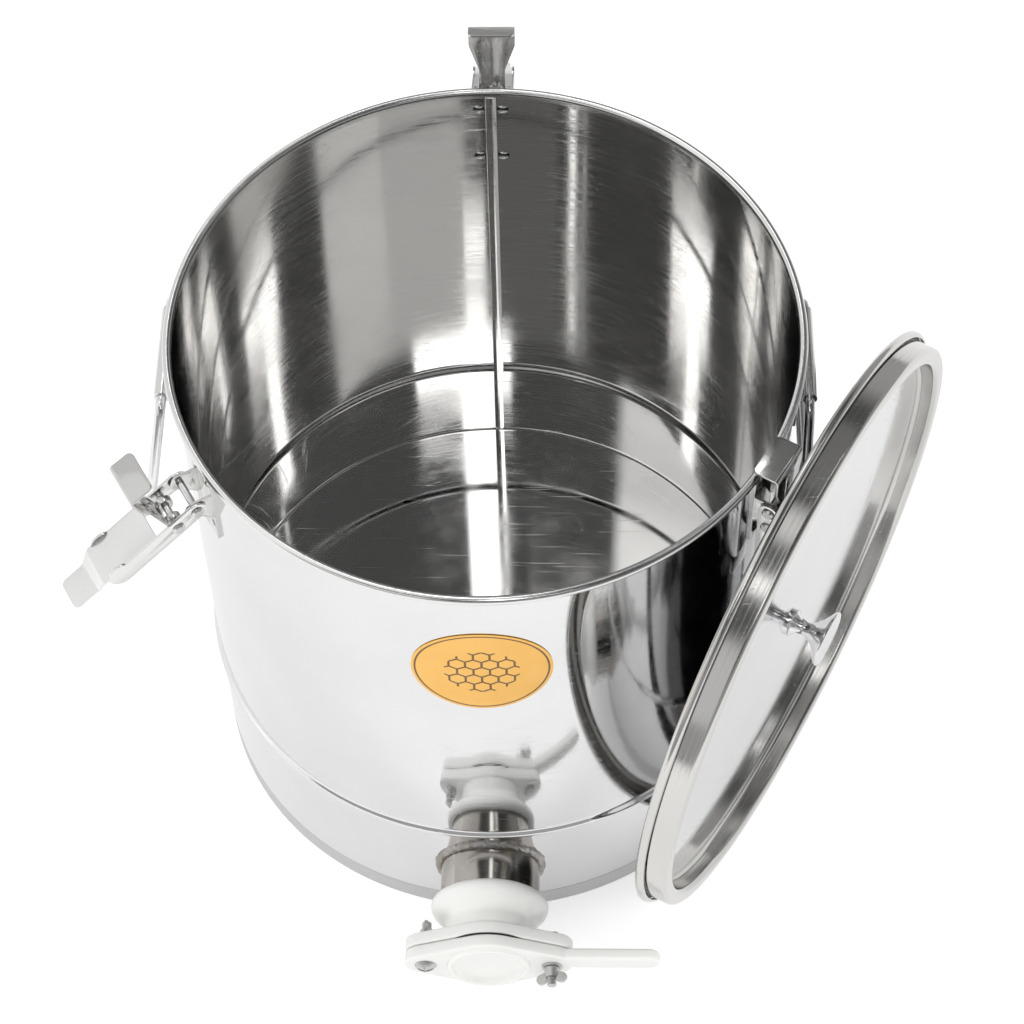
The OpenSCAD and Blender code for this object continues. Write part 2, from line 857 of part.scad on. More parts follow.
// Tongue in side view: set in by a smooth bend, then straight
module tongue_section() {
    outer = tongue_side(web_out);
    inner = tongue_side(web_out - latch_t);
    end = -lever_l - tongue_l;
    polygon(concat(
        [[web_out, -lever_l + latch_t]],
        outer,
        [[web_out - tongue_set, end], [web_out - tongue_set - latch_t, end]],
        [for (i = [len(inner) - 1 : -1 : 0]) inner[i]],
        [[web_out - latch_t, -lever_l + latch_t]]
    ));
}

// Tongue in front view: it narrows from the lever's width and has a rounded end
module tongue_outline() {
    corner = tongue_w / 6;
    end = -lever_l - tongue_l;
    neck = -lever_l - tongue_l * tongue_bend_share;
    polygon(concat(
        [[-lever_half, -lever_l + latch_t], [-lever_half, -lever_l]],
        [[-tongue_w / 2, neck]],
        arc(corner - tongue_w / 2, end + corner, corner, 180, 270),
        arc(tongue_w / 2 - corner, end + corner, corner, 270, 360),
        [[tongue_w / 2, neck]],
        [[lever_half, -lever_l], [lever_half, -lever_l + latch_t]]
    ));
}

module lever(bearing, open) {
    color("whitesmoke")
        at_lever(bearing, open)
            difference() {
                union() {
                    for (y = [-lever_in, lever_half])
                        translate([0, y, 0])
                            rotate([90, 0, 0])
                                linear_extrude(latch_t)
                                    cheek_outline();
                    translate([web_out - latch_t, -lever_half, -lever_l])
                        cube([latch_t, 2 * lever_half, lever_l - window_l]);
                    intersection() {
                        translate([0, lever_half, 0])
                            rotate([90, 0, 0])
                                linear_extrude(2 * lever_half)
                                    tongue_section();
                        rotate([90, 0, 90])
                            linear_extrude(web_out)
                                tongue_outline();
                    }
                }
                translate([0, lever_half + over, 0])
                    rotate([90, 0, 0])
                        cylinder(r = pin_r + run, h = 2 * lever_half + 2 * over);
                translate([0, lever_half + over, -pin_pitch])
                    rotate([90, 0, 0])
                        cylinder(r = pin_r + fit, h = 2 * lever_half + 2 * over);
            }
}

// Hook in side view, upright on its pin at the origin: a plate with a flange bent towards the tank
module hook_section() {
    face = hook_in + hook_t;
    bend_x = face - hook_bend_r;
    bend_z = hook_l - hook_bend_r;
    polygon(concat(
        [[face, 0]],
        arc(bend_x, bend_z, hook_bend_r, 0, 90),
        [[face - hook_reach, hook_l], [face - hook_reach, hook_l - hook_t]],
        arc(bend_x, bend_z, hook_bend_r - hook_t, 90, 0),
        [[hook_in, 0]]
    ));
}

// Hook in front view: wide at the top, narrowing to its stem
module hook_outline() {
    polygon([
        [-stem_w / 2, 0],
        [-stem_w / 2, stem_l],
        [-hook_w / 2, stem_l + taper_l],
        [-hook_w / 2, hook_l],
        [hook_w / 2, hook_l],
        [hook_w / 2, stem_l + taper_l],
        [stem_w / 2, stem_l],
        [stem_w / 2, 0]
    ]);
}

// Hook in plan: the free edge of its flange has rounded corners
module hook_plan() {
    corner = hook_w / 8;
    face = hook_in + hook_t;
    free = face - hook_reach;
    polygon(concat(
        [[face, -hook_w / 2], [face, hook_w / 2]],
        arc(free + corner, hook_w / 2 - corner, corner, 90, 180),
        arc(free + corner, corner - hook_w / 2, corner, 180, 270)
    ));
}

module hook(bearing, open, lean) {
    rib_low = stem_l / 2;
    rib_high = hook_l - 2 * hook_bend_r - rib_w / 2;
    color("lightgray")
        at_hook(bearing, open, lean) {
            intersection() {
                translate([0, hook_w / 2, 0])
                    rotate([90, 0, 0])
                        linear_extrude(hook_w)
                            hook_section();
                translate([-hook_reach, 0, 0])
                    rotate([90, 0, 90])
                        linear_extrude(2 * hook_reach)
                            hook_outline();
                linear_extrude(hook_l)
                    hook_plan();
            }
            // Pressed rib on the outer face
            translate([hook_in + hook_t / 2, 0, 0])
                rotate([90, 0, 90])
                    linear_extrude(hook_t / 2 + rib_t) {
                        translate([-rib_w / 2, rib_low])
                            square([rib_w, rib_high - rib_low]);
                        translate([0, rib_low])
                            circle(d = rib_w);
                        translate([0, rib_high])
                            circle(d = rib_w);
                    }
            // Knuckles round the pin
            for (y = [-stem_w / 2 + knuckle_w, stem_w / 2])
                translate([0, y, 0])
                    rotate([90, 0, 0])
                        ring(pin_r + run, knuckle_r, knuckle_w);
        }
}

// Places its children on the lid: local z runs outwards along the lid's axis, from its ring's face
module at_lid() {
    rotate([0, 0, lid_bearing])
        translate([lid_dist, lid_side, lid_z])
            rotate([0, 90 + lid_lean, 0])
                children();
}

// Lid in section: recessed disc, inner wall, raised ring, skirt and an edge curled outwards
module lid_section() {
    face_r = plug_r - lid_t;
    low = lid_round - dish_h;
    polygon(concat(
        [[0, -dish_h]],
        arc(face_r - lid_round, low, lid_round, 270, 360),
        arc(face_r + lid_round, -lid_round, lid_round, 180, 90),
        arc(skirt_r - lid_round, -lid_round, lid_round, 90, 0),
        arc(lid_curl_c, -skirt_h, lid_curl_r - lid_t, 180, lid_curl_end, 24),
        arc(lid_curl_c, -skirt_h, lid_curl_r, lid_curl_end, 180, 24),
        arc(skirt_r - lid_round, -lid_round, lid_round - lid_t, 0, 90),
        arc(face_r + lid_round, -lid_round, lid_round - lid_t, 90, 180),
        arc(face_r - lid_round, low, lid_round + lid_t, 360, 270),
        [[0, -dish_h - lid_t]]
    ));
}

module lid_pan() {
    color("gainsboro")
        at_lid()
            difference() {
                rotate_extrude()
                    lid_section();
                translate([0, 0, -dish_h - lid_t - over])
                    cylinder(r = knob_screw_d / 2 + fit, h = lid_t + 2 * over);
            }
}

module lid_gasket() {
    color("white")
        at_lid()
            translate([0, 0, -lid_t - gasket_t])
                ring(plug_r - lid_t + lid_round, skirt_r - lid_round, gasket_t);
}

// Flared knob on the recessed disc, bored for its screw
module lid_knob() {
    base_h = knob_h * knob_base_share;
    color("silver")
        at_lid()
            translate([0, 0, -dish_h])
                difference() {
                    rotate_extrude()
                        polygon(concat(
                            [[0, 0], [knob_base_d / 2, 0], [knob_base_d / 2, base_h]],
                            [[knob_stem_d / 2, 2 * base_h]],
                            [
                                for (i = [0 : len(knob_r_shares) - 1])
                                    [
                                        max(knob_stem_d / 2, knob_d / 2 * knob_r_shares[i]),
                                        knob_h * knob_z_shares[i]
                                    ]
                            ],
                            [[0, knob_h]]
                        ));
                    translate([0, 0, -over])
                        cylinder(r = knob_screw_d / 2 + fit, h = knob_screw_l + 2 * over);
                }
}

module knob_screw() {
    head_z = -dish_h - lid_t - knob_washer_t;
    head_h = knob_screw_d / 2;
    color("dimgray")
        at_lid()
            translate([0, 0, head_z]) {
                translate([0, 0, -head_h / 2])
                    cylinder(d = knob_screw_d, h = knob_screw_l - dish_h - head_z + head_h / 2);
                rotate([180, 0, 0])
                    domed_head(knob_screw_head / 2, head_h);
            }
}

module knob_washer() {
    color("darkgray")
        at_lid()
            translate([0, 0, -dish_h - lid_t - knob_washer_t])
                ring(knob_screw_d / 2 + fit, knob_washer_d / 2, knob_washer_t);
}

tank_shell();
rim_wire();
tank_floor();
base_hoop();
front_label();
outlet_pipe();
pipe_weld();
handle_bracket(handle_bearings[0]);  // left_handle_bracket
handle(handle_bearings[0], left_swing);  // left_handle
handle_bracket(handle_bearings[1]);  // right_handle_bracket
handle(handle_bearings[1], 0);  // right_handle
gate_body();
gate_seal();
gate_blade();
pivot_screw();
pivot_wing_nut();
clamp_bolt();
clamp_washer();
clamp_wing_nut();
// The three latches differ only in their bearing and in how far they stand open
for (i = [0 : len(latch_names) - 1]) {
    at = latch_bearings[i];
    open = latch_open[i];
    lean = latch_lean[i];
    name = latch_names[i];
    latch_base(at);
    latch_rivets(at);
    base_pin(at);
    lever(at, open);
    hook_pin(at, open);
    hook(at, open, lean);
}
lid_pan();
lid_gasket();
lid_knob();
knob_screw();
knob_washer();
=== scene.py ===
"""Looks of a stainless honey settling tank with its outlet gate, latches, drop handles and taken-off lid.

Sizes are in millimetres. Each piece is shaped in millimetres and scaled to metres when it is delivered.
"""

import logging
import math
from dataclasses import dataclass
from enum import Enum

import bpy
from mathutils import Matrix, Vector


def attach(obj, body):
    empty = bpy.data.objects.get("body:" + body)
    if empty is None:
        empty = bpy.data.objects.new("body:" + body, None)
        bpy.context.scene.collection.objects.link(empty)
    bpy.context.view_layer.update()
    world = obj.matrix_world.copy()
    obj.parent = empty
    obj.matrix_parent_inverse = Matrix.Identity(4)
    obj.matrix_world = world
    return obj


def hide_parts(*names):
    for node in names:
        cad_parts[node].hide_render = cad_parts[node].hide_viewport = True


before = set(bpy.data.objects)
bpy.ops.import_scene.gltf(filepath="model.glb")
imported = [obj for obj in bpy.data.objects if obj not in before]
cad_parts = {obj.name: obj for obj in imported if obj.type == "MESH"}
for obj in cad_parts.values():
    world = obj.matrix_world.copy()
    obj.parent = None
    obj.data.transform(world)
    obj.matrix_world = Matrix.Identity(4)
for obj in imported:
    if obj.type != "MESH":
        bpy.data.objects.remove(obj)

LOG = logging.getLogger("honey_tank")
MM = 0.001
TURN_STEPS = 256
RING_STEPS = 128
SMALL_STEPS = 96
BOLT_STEPS = 48
ROD_ROUND = 8
MERGE_GAP = 0.00002
SMOOTH_ANGLE = math.radians(32)
SHARP_ANGLE = math.radians(40)
FLAT_ANGLE = math.radians(0.5)
NOISE_SPAN = (0.3, 0.7)

Pair = tuple[float, float]
Triple = tuple[float, float, float]
Colour = Triple
Piece = bpy.types.Object
Node = bpy.types.Node
Socket = bpy.types.NodeSocket
Sockets = bpy.types.bpy_prop_collection
Inputs = dict[int | str, object]


class Slot(Enum):
    """Material slots of the record."""

    TANK = "tank_steel"
    HOOP = "hoop_steel"
    WELD = "weld_steel"
    HANDLE = "handle_steel"
    LATCH = "latch_steel"
    PIN = "pin_steel"
    GATE = "gate_plastic"
    SEAL = "seal_rubber"
    BOLT = "bolt_steel"
    KNOB = "knob_chrome"
    LABEL = "label_film"


def arc(x: float, y: float, radius: float, start: float, end: float, steps: int) -> list[Pair]:
    """Gives the points of an arc.

    Args:
        x: Centre of the arc across.
        y: Centre of the arc upwards.
        radius: Radius of the arc.
        start: First angle in degrees.
        end: Last angle in degrees.
        steps: Number of steps between the two.

    Returns:
        The points in order.
    """
    angles = [math.radians(start + (end - start) * i / steps) for i in range(steps + 1)]
    return [(x + radius * math.cos(a), y + radius * math.sin(a)) for a in angles]


def ring(x: float, y: float, radius: float, steps: int) -> list[Pair]:
    """Gives the points of a full circle, without the first one again at its end."""
    return arc(x, y, radius, 0, 360 - 360 / steps, steps - 1)


def spin(angle: float, axis: str) -> Matrix:
    """Gives a turn by an angle in degrees about an axis."""
    return Matrix.Rotation(math.radians(angle), 4, axis)


def through(points: list[Pair], steps: int = 5) -> list[Pair]:
    """Runs a smooth curve through points.

    Args:
        points: The points that the curve passes.
        steps: Number of steps between two points.

    Returns:
        The points of the curve.
    """
    ends = [points[0], *points, points[-1]]
    curve = []
    for a, b, c, d in zip(ends, ends[1:], ends[2:], ends[3:]):
        for i in range(steps):
            t = i / steps
            curve.append(tuple(
                0.5 * (
                    2 * q + (r - p) * t + (2 * p - 5 * q + 4 * r - s) * t ** 2
                    + (3 * q - p - 3 * r + s) * t ** 3
                )
                for p, q, r, s in zip(a, b, c, d)
            ))
    return [*curve, points[-1]]


class Bench:
    """Modelling moves, each an operator on one piece at a time."""

    @staticmethod
    def clear() -> None:
        """Leaves edit mode and deselects everything."""
        if bpy.context.mode != "OBJECT":
            bpy.ops.object.mode_set(mode="OBJECT")
        bpy.ops.object.select_all(action="DESELECT")

    @staticmethod
    def pick(piece: Piece) -> None:
        """Selects one piece and makes it active.

        Args:
            piece: The piece that the next operators work on.
        """
        Bench.clear()
        piece.select_set(True)
        bpy.context.view_layer.objects.active = piece

    @staticmethod
    def close(piece: Piece) -> Piece:
        """Merges doubles in edit mode, turns the faces outwards and returns to object mode.

        Args:
            piece: The piece that is in edit mode.

        Returns:
            The piece.
        """
        bpy.ops.mesh.select_all(action="SELECT")
        bpy.ops.mesh.remove_doubles(threshold=MERGE_GAP / MM)
        bpy.ops.mesh.normals_make_consistent(inside=False)
        bpy.ops.object.mode_set(mode="OBJECT")
        return piece

    @staticmethod
    def trace(name: str, points: list[Triple]) -> Piece:
        """Draws a line of edges by extruding one vertex from point to point, and stays in edit mode.

        Args:
            name: Name of the new piece.
            points: The points of the line.

        Returns:
            The new piece.
        """
        Bench.clear()
        bpy.ops.mesh.primitive_plane_add(size=1)
        piece = bpy.context.object
        piece.name = name
        bpy.ops.object.mode_set(mode="EDIT")
        bpy.ops.mesh.select_all(action="SELECT")
        bpy.ops.mesh.merge(type="CENTER")
        here = Vector(points[0])
        bpy.ops.transform.translate(value=here)
        for point in points[1:]:
            step = Vector(point) - here
            bpy.ops.mesh.extrude_region_move(TRANSFORM_OT_translate={"value": step})
            here = Vector(point)
        bpy.ops.mesh.select_all(action="SELECT")
        return piece

    @staticmethod
    def turn(name: str, profile: list[Pair], steps: int = TURN_STEPS, closed: bool = True) -> Piece:
        """Spins a profile about the Z axis.

        Args:
            name: Name of the new piece.
            profile: Radius and height of each point.
            steps: Number of steps in the full turn.
            closed: Whether the profile's last point joins its first.

        Returns:
            The turned piece.
        """
        points = [(r, 0.0, z) for r, z in profile]
        piece = Bench.trace(name, points + points[:1] if closed else points)
        bpy.ops.mesh.spin(steps=steps, angle=math.tau, center=(0, 0, 0), axis=(0, 0, 1))
        return Bench.close(piece)

    @staticmethod
    def plate(name: str, outline: list[Pair], low: float, high: float) -> Piece:
        """Fills an outline in plan and extrudes it upwards.

        Args:
            name: Name of the new piece.
            outline: Points of the outline in order.
            low: Height of the lower face.
            high: Height of the upper face.

        Returns:
            The plate.
        """
        points = [(x, y, low) for x, y in outline]
        piece = Bench.trace(name, points + points[:1])
        bpy.ops.mesh.remove_doubles(threshold=MERGE_GAP / MM)
        bpy.ops.mesh.edge_face_add()
        bpy.ops.mesh.extrude_region_move(TRANSFORM_OT_translate={"value": (0, 0, high - low)})
        return Bench.close(piece)

    @staticmethod
    def bar(name: str, x: float, y: float, radius: float, low: float, high: float) -> Piece:
        """Makes a round bar along Z at x, y, as a cutter or a shank."""
        return Bench.plate(name, ring(x, y, radius, SMALL_STEPS), low, high)

    @staticmethod
    def rod(name: str, path: list[Triple], radius: float) -> Piece:
        """Sweeps a round rod along a path.

        Args:
            name: Name of the new piece.
            path: Points along the middle of the rod.
            radius: Radius of the rod.

        Returns:
            The rod as a mesh with closed ends.
        """
        line = bpy.data.curves.new(name, "CURVE")
        line.dimensions = "3D"
        line.bevel_depth = radius
        line.bevel_resolution = ROD_ROUND
        line.use_fill_caps = True
        spline = line.splines.new("POLY")
        spline.points.add(len(path) - 1)
        for point, place in zip(spline.points, path):
            point.co = (*place, 1)
        piece = bpy.data.objects.new(name, line)
        bpy.context.scene.collection.objects.link(piece)
        Bench.pick(piece)
        bpy.ops.object.convert(target="MESH")
        piece = bpy.context.object
        bpy.ops.object.mode_set(mode="EDIT")
        return Bench.close(piece)

    @staticmethod
    def copy_node(name: str, node: str, soften: float) -> Piece:
        """Copies a node's mesh into a new piece, welds its triangles and rounds its edges.

        Args:
            name: Name of the new piece.
            node: Node that is copied.
            soften: Width of the rounded edges.

        Returns:
            The piece, in metres and in its place.
        """
        piece = bpy.data.objects.new(name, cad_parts[node].data.copy())
        piece.data.materials.clear()
        bpy.context.scene.collection.objects.link(piece)
        Bench.pick(piece)
        bpy.ops.object.mode_set(mode="EDIT")
        bpy.ops.mesh.select_all(action="SELECT")
        bpy.ops.mesh.customdata_custom_splitnormals_clear()
        bpy.ops.mesh.remove_doubles(threshold=MERGE_GAP / 4)
        bpy.ops.mesh.dissolve_limited(angle_limit=FLAT_ANGLE)
        bpy.ops.object.mode_set(mode="OBJECT")
        Bench.soften(piece, soften * MM)
        return piece

    @staticmethod
    def apply(piece: Piece, kind: str, **settings: object) -> Piece:
        """Adds a modifier with its settings and applies it.

        Args:
            piece: The piece that is changed.
            kind: Type of the modifier.
            settings: Properties of the modifier.

        Returns:
            The piece.
        """
        Bench.pick(piece)
        modifier = piece.modifiers.new(kind.lower(), kind)
        for key, value in settings.items():
            setattr(modifier, key, value)
        bpy.ops.object.modifier_apply(modifier=modifier.name)
        return piece

    @staticmethod
    def soften(piece: Piece, width: float, segments: int = 3) -> Piece:
        """Rounds the sharp edges of a piece.

        Args:
            piece: The piece that is changed.
            width: Width of the rounding.
            segments: Number of steps across it.

        Returns:
            The piece.
        """
        return Bench.apply(
            piece, "BEVEL", width=width, segments=segments, limit_method="ANGLE",
            angle_limit=SHARP_ANGLE, use_clamp_overlap=True,
        )

    @staticmethod
    def fit(piece: Piece, tool: Piece, operation: str) -> Piece:
        """Cuts, joins or keeps a piece by a tool piece, which is used up.

        Args:
            piece: The piece that stays.
            tool: The piece that cuts or joins.
            operation: DIFFERENCE, UNION or INTERSECT.

        Returns:
            The piece.
        """
        Bench.apply(piece, "BOOLEAN", object=tool, operation=operation, solver="EXACT")
        bpy.data.meshes.remove(tool.data)
        return piece

    @staticmethod
    def place(piece: Piece, matrix: Matrix) -> Piece:
        """Moves a piece and applies the move to its mesh.

        Args:
            piece: The piece that is moved.
            matrix: The move.

        Returns:
            The piece.
        """
        Bench.pick(piece)
        piece.matrix_world = matrix
        bpy.ops.object.transform_apply(location=True, rotation=True, scale=True)
        return piece

    @staticmethod
    def deliver(
        piece: Piece, finish: "Finish", body: str, slot: Slot, nodes: list[str], scaled: bool = True,
    ) -> Piece:
        """Scales a piece to metres, shades and dresses it, and ties it to the frame.

        Args:
            piece: The finished piece.
            finish: Its surface.
            body: Body that it moves with.
            slot: Slot of the record that its finish belongs to; it is not used.
            nodes: Nodes that it stands for.
            scaled: Whether the piece is still in millimetres.

        Returns:
            The piece.
        """
        if scaled:
            Bench.place(piece, Matrix.Scale(MM, 4))
        Bench.pick(piece)
        bpy.ops.object.shade_smooth_by_angle(angle=SMOOTH_ANGLE)
        piece.data.materials.clear()
        piece.data.materials.append(finish.material())
        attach(piece, body)
        if nodes:
            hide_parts(*nodes)
        LOG.info("%s rides on %s, %d faces", piece.name, body, len(piece.data.polygons))
        return piece


class NodeSheet:
    """A tree of shader nodes that is filled by short calls."""

    def __init__(self, tree: bpy.types.NodeTree) -> None:
        """Keeps the tree that is filled."""
        self.tree = tree

    @staticmethod
    def of_material(name: str) -> tuple[bpy.types.Material, "NodeSheet"]:
        """Makes a material.

        Args:
            name: Name of the material.

        Returns:
            The material and its sheet.
        """
        material = bpy.data.materials.new(name)
        material.use_nodes = True
        return material, NodeSheet(material.node_tree)

    def feed(self, node: Node, inputs: Inputs) -> None:
        """Sets a node's inputs, by name or number.

        Args:
            node: Node of this tree.
            inputs: A value or a socket for each input.
        """
        for key, value in inputs.items():
            if isinstance(value, Socket):
                self.tree.links.new(value, node.inputs[key])
            else:
                node.inputs[key].default_value = value

    def add(self, kind: str, inputs: Inputs | None = None, **settings: object) -> Node:
        """Adds a node.

        Args:
            kind: Type of the node.
            inputs: Values or sockets for its inputs, by name or number.
            settings: Properties of the node.

        Returns:
            The node.
        """
        node = self.tree.nodes.new(kind)
        for key, value in settings.items():
            setattr(node, key, value)
        self.feed(node, inputs or {})
        return node

    def math(self, operation: str, a: object, b: object = 0.0) -> Socket:
        """Adds an operation on two values and gives its result."""
        return self.add("ShaderNodeMath", {0: a, 1: b}, operation=operation).outputs[0]

    def vector(self, operation: str, *parts: object) -> Socket:
        """Adds an operation on vectors and gives its result, which is a value for a length."""
        node = self.add("ShaderNodeVectorMath", dict(enumerate(parts)), operation=operation)
        return node.outputs["Value" if operation == "LENGTH" else 0]

    def span(self, value: object, low: float, high: float, start: float = 0.0, end: float = 1.0) -> Socket:
        """Maps a value from one span onto another, clamped.

        Args:
            value: Value that is mapped.
            low: Start of its span.
            high: End of its span.
            start: Result at the start.
            end: Result at the end.

        Returns:
            The result.
        """
        node = self.add(
            "ShaderNodeMapRange",
            {"Value": value, "From Min": low, "From Max": high, "To Min": start, "To Max": end},
        )
        return node.outputs["Result"]

    def noise(self, vector: object, scale: object, detail: float = 2.0) -> Socket:
        """Adds noise on a vector and gives its value."""
        return self.add("ShaderNodeTexNoise", {"Vector": vector, "Scale": scale, "Detail": detail}).outputs[0]

    def tint(self, factor: object, low: object, high: object) -> Socket:
        """Blends two colours, each given as a colour or a socket, by a factor."""
        ends = [end if isinstance(end, Socket) else (*end, 1) for end in (low, high)]
        return self.add("ShaderNodeMix", {0: factor, 6: ends[0], 7: ends[1]}, data_type="RGBA").outputs[2]

    def blend(self, factor: object, low: object, high: object) -> Socket:
        """Blends two values, each a number or a socket, by a factor."""
        return self.add("ShaderNodeMix", {0: factor, 2: low, 3: high}).outputs[0]

    def relief(self, height: object, depth: float, under: object = None) -> Socket:
        """Adds a bump.

        Args:
            height: Height of the surface, from nothing to one.
            depth: Depth of the bump in metres.
            under: Normal that the bump lies on.

        Returns:
            The new normal.
        """
        inputs = {"Strength": 1.0, "Distance": depth, "Height": height}
        if under:
            inputs["Normal"] = under
        return self.add("ShaderNodeBump", inputs).outputs[0]

    def place(self) -> Socket:
        """Gives the object's own coordinates."""
        return self.add("ShaderNodeTexCoord").outputs["Object"]

    def split(self, vector: object) -> Sockets:
        """Gives the three parts of a vector."""
        return self.add("ShaderNodeSeparateXYZ", {0: vector}).outputs

    def flat(self, across: object, along: object) -> Socket:
        """Gives a vector in plan from two values."""
        return self.add("ShaderNodeCombineXYZ", {0: across, 1: along}).outputs[0]


class Effect:
    """Shader node groups that several finishes share, each built once."""

    SCRATCH_TURNS = ((0.3, 0.5, 0.2), (1.1, -0.4, 0.9), (-0.6, 1.0, -0.3))
    SCRATCH_STRETCH = (1.0, 40.0, 40.0)
    SCRATCH_CUT = (0.72, 0.76)
    SMUDGE_CUT = (0.36, 0.70)
    EDGE_CUT = (0.52, 0.60)
    BREAK_CUT = (0.3, 0.6)
    SCRATCH_DETAIL = 1.0
    SMUDGE_DETAIL = 5.0
    WAVE_DETAIL = 1.0
    TURNED_DETAIL = 4.0
    DRAWN_DETAIL = 3.0
    BREAK_DETAIL = 3.0

    @staticmethod
    def _start(name: str, vectors: list[str], floats: list[str], outputs: list[str]) -> NodeSheet | None:
        """Starts a group.

        Args:
            name: Name of the group.
            vectors: Names of its vector inputs.
            floats: Names of its other inputs.
            outputs: Names of its outputs.

        Returns:
            The group's tree, or nothing where the group exists.
        """
        if name in bpy.data.node_groups:
            return None
        tree = bpy.data.node_groups.new(name, "ShaderNodeTree")
        rows = [(label, "INPUT", "NodeSocketVector") for label in vectors]
        rows += [(label, "INPUT", "NodeSocketFloat") for label in floats]
        rows += [(label, "OUTPUT", "NodeSocketFloat") for label in outputs]
        for label, way, kind in rows:
            tree.interface.new_socket(label, in_out=way, socket_type=kind)
        return NodeSheet(tree)

    @staticmethod
    def _use(sheet: NodeSheet, name: str, inputs: Inputs) -> Sockets:
        """Places a group in a material and gives its outputs."""
        return sheet.add("ShaderNodeGroup", inputs, node_tree=bpy.data.node_groups[name]).outputs

    @staticmethod
    def marks(sheet: NodeSheet, vector: object, scratch: float, smudge: float, wave: float) -> Sockets:
        """Places the marks of handled sheet metal.

        Args:
            sheet: Material that the group goes into.
            vector: Coordinates in metres.
            scratch: Scale of the fine scratches.
            smudge: Scale of the wiped smudges.
            wave: Scale of the sheet's slow waves.

        Returns:
            The outputs Scratches, Smudges and Waves.
        """
        name = "sheet_marks"
        scales = {"Scratch Scale": scratch, "Smudge Scale": smudge, "Wave Scale": wave}
        group = Effect._start(name, ["Vector"], list(scales), ["Scratches", "Smudges", "Waves"])
        if group:
            entry = group.add("NodeGroupInput").outputs
            lines = []
            for turn in Effect.SCRATCH_TURNS:
                lean = group.add("ShaderNodeMapping", {
                    "Vector": entry["Vector"], "Rotation": turn, "Scale": Effect.SCRATCH_STRETCH,
                }).outputs[0]
                noise = group.noise(lean, entry["Scratch Scale"], Effect.SCRATCH_DETAIL)
                lines.append(group.span(noise, *Effect.SCRATCH_CUT))
            most = group.math("MAXIMUM", group.math("MAXIMUM", lines[0], lines[1]), lines[2])
            wiped = group.noise(entry["Vector"], entry["Smudge Scale"], Effect.SMUDGE_DETAIL)
            smudges = group.span(wiped, *Effect.SMUDGE_CUT)
            waves = group.noise(entry["Vector"], entry["Wave Scale"], Effect.WAVE_DETAIL)
            group.add("NodeGroupOutput", {"Scratches": most, "Smudges": smudges, "Waves": waves})
        return Effect._use(sheet, name, {"Vector": vector, **scales})

    @staticmethod
    def turned(sheet: NodeSheet, vector: object, scale: float) -> Socket:
        """Places grain that runs round the Z axis of the coordinates.

        Args:
            sheet: Material that the group goes into.
            vector: Coordinates whose Z axis is the axis of the turning.
            scale: Lines per metre.

        Returns:
            The value of the grain.
        """
        name = "turned_grain"
        group = Effect._start(name, ["Vector"], ["Scale"], ["Grain"])
        if group:
            entry = group.add("NodeGroupInput").outputs
            x, y, z = group.split(entry["Vector"])
            spun = group.flat(group.vector("LENGTH", group.flat(x, y)), z)
            grain = group.noise(spun, entry["Scale"], Effect.TURNED_DETAIL)
            group.add("NodeGroupOutput", {"Grain": grain})
        return Effect._use(sheet, name, {"Vector": vector, "Scale": scale})["Grain"]

    @staticmethod
    def drawn(sheet: NodeSheet, vector: object, scale: float, stretch: Triple) -> Socket:
        """Places fine lines that are drawn out where the stretch is small.

        Args:
            sheet: Material that the group goes into.
            vector: Coordinates in metres.
            scale: Lines per metre across the grain.
            stretch: Share of the scale along each axis.

        Returns:
            The value of the grain.
        """
        name = "drawn_grain"
        group = Effect._start(name, ["Vector", "Stretch"], ["Scale"], ["Grain"])
        if group:
            entry = group.add("NodeGroupInput").outputs
            drawn = group.vector("MULTIPLY", entry["Vector"], entry["Stretch"])
            grain = group.noise(drawn, entry["Scale"], Effect.DRAWN_DETAIL)
            group.add("NodeGroupOutput", {"Grain": grain})
        return Effect._use(sheet, name, {"Vector": vector, "Stretch": stretch, "Scale": scale})["Grain"]

    @staticmethod
    def wear(sheet: NodeSheet, vector: object, scale: float) -> Socket:
        """Places the bright wear of outer edges, broken up by noise.

        Args:
            sheet: Material that the group goes into.
            vector: Coordinates in metres.
            scale: Scale of the breaks.

        Returns:
            The mask of worn edges.
        """
        name = "edge_wear"
        group = Effect._start(name, ["Vector"], ["Scale"], ["Wear"])
        if group:
            entry = group.add("NodeGroupInput").outputs
            edge = group.span(group.add("ShaderNodeNewGeometry").outputs["Pointiness"], *Effect.EDGE_CUT)
            noise = group.noise(entry["Vector"], entry["Scale"], Effect.BREAK_DETAIL)
            broken = group.span(noise, *Effect.BREAK_CUT)
            group.add("NodeGroupOutput", {"Wear": group.math("MULTIPLY", edge, broken)})
        return Effect._use(sheet, name, {"Vector": vector, "Scale": scale})["Wear"]


class Grain(Enum):
    """How a metal surface was worked, with the stretch of lines that are drawn along or across Z."""

    NONE = None
    TURNED = "turned"
    BRUSHED = (1.0, 1.0, 0.03)
    POLISHED = (0.03, 0.03, 1.0)


class Finish:
    """A surface that makes its material once."""

    name: str

    def material(self) -> bpy.types.Material:
        """Makes the material on the first call.

        Returns:
            The material.
        """
        if self.name in bpy.data.materials:
            return bpy.data.materials[self.name]
        material, sheet = NodeSheet.of_material(self.name)
        self.dress(sheet, sheet.tree.nodes["Principled BSDF"])
        return material

    def dress(self, sheet: NodeSheet, skin: Node) -> None:
        """Fills the material's nodes; each finish has its own."""
        raise NotImplementedError


class Measure(Enum):
    """What tells the satin part of a piece from its polished part."""

    HEIGHT = "height"
    RADIUS = "radius"


@dataclass(frozen=True)
class SatinBand:
    """Part of a polished piece that is dulled to satin, from one place on; a negative blend runs inwards."""

    measure: Measure
    start: float
    blend: float
    pale: Colour
    rough: float


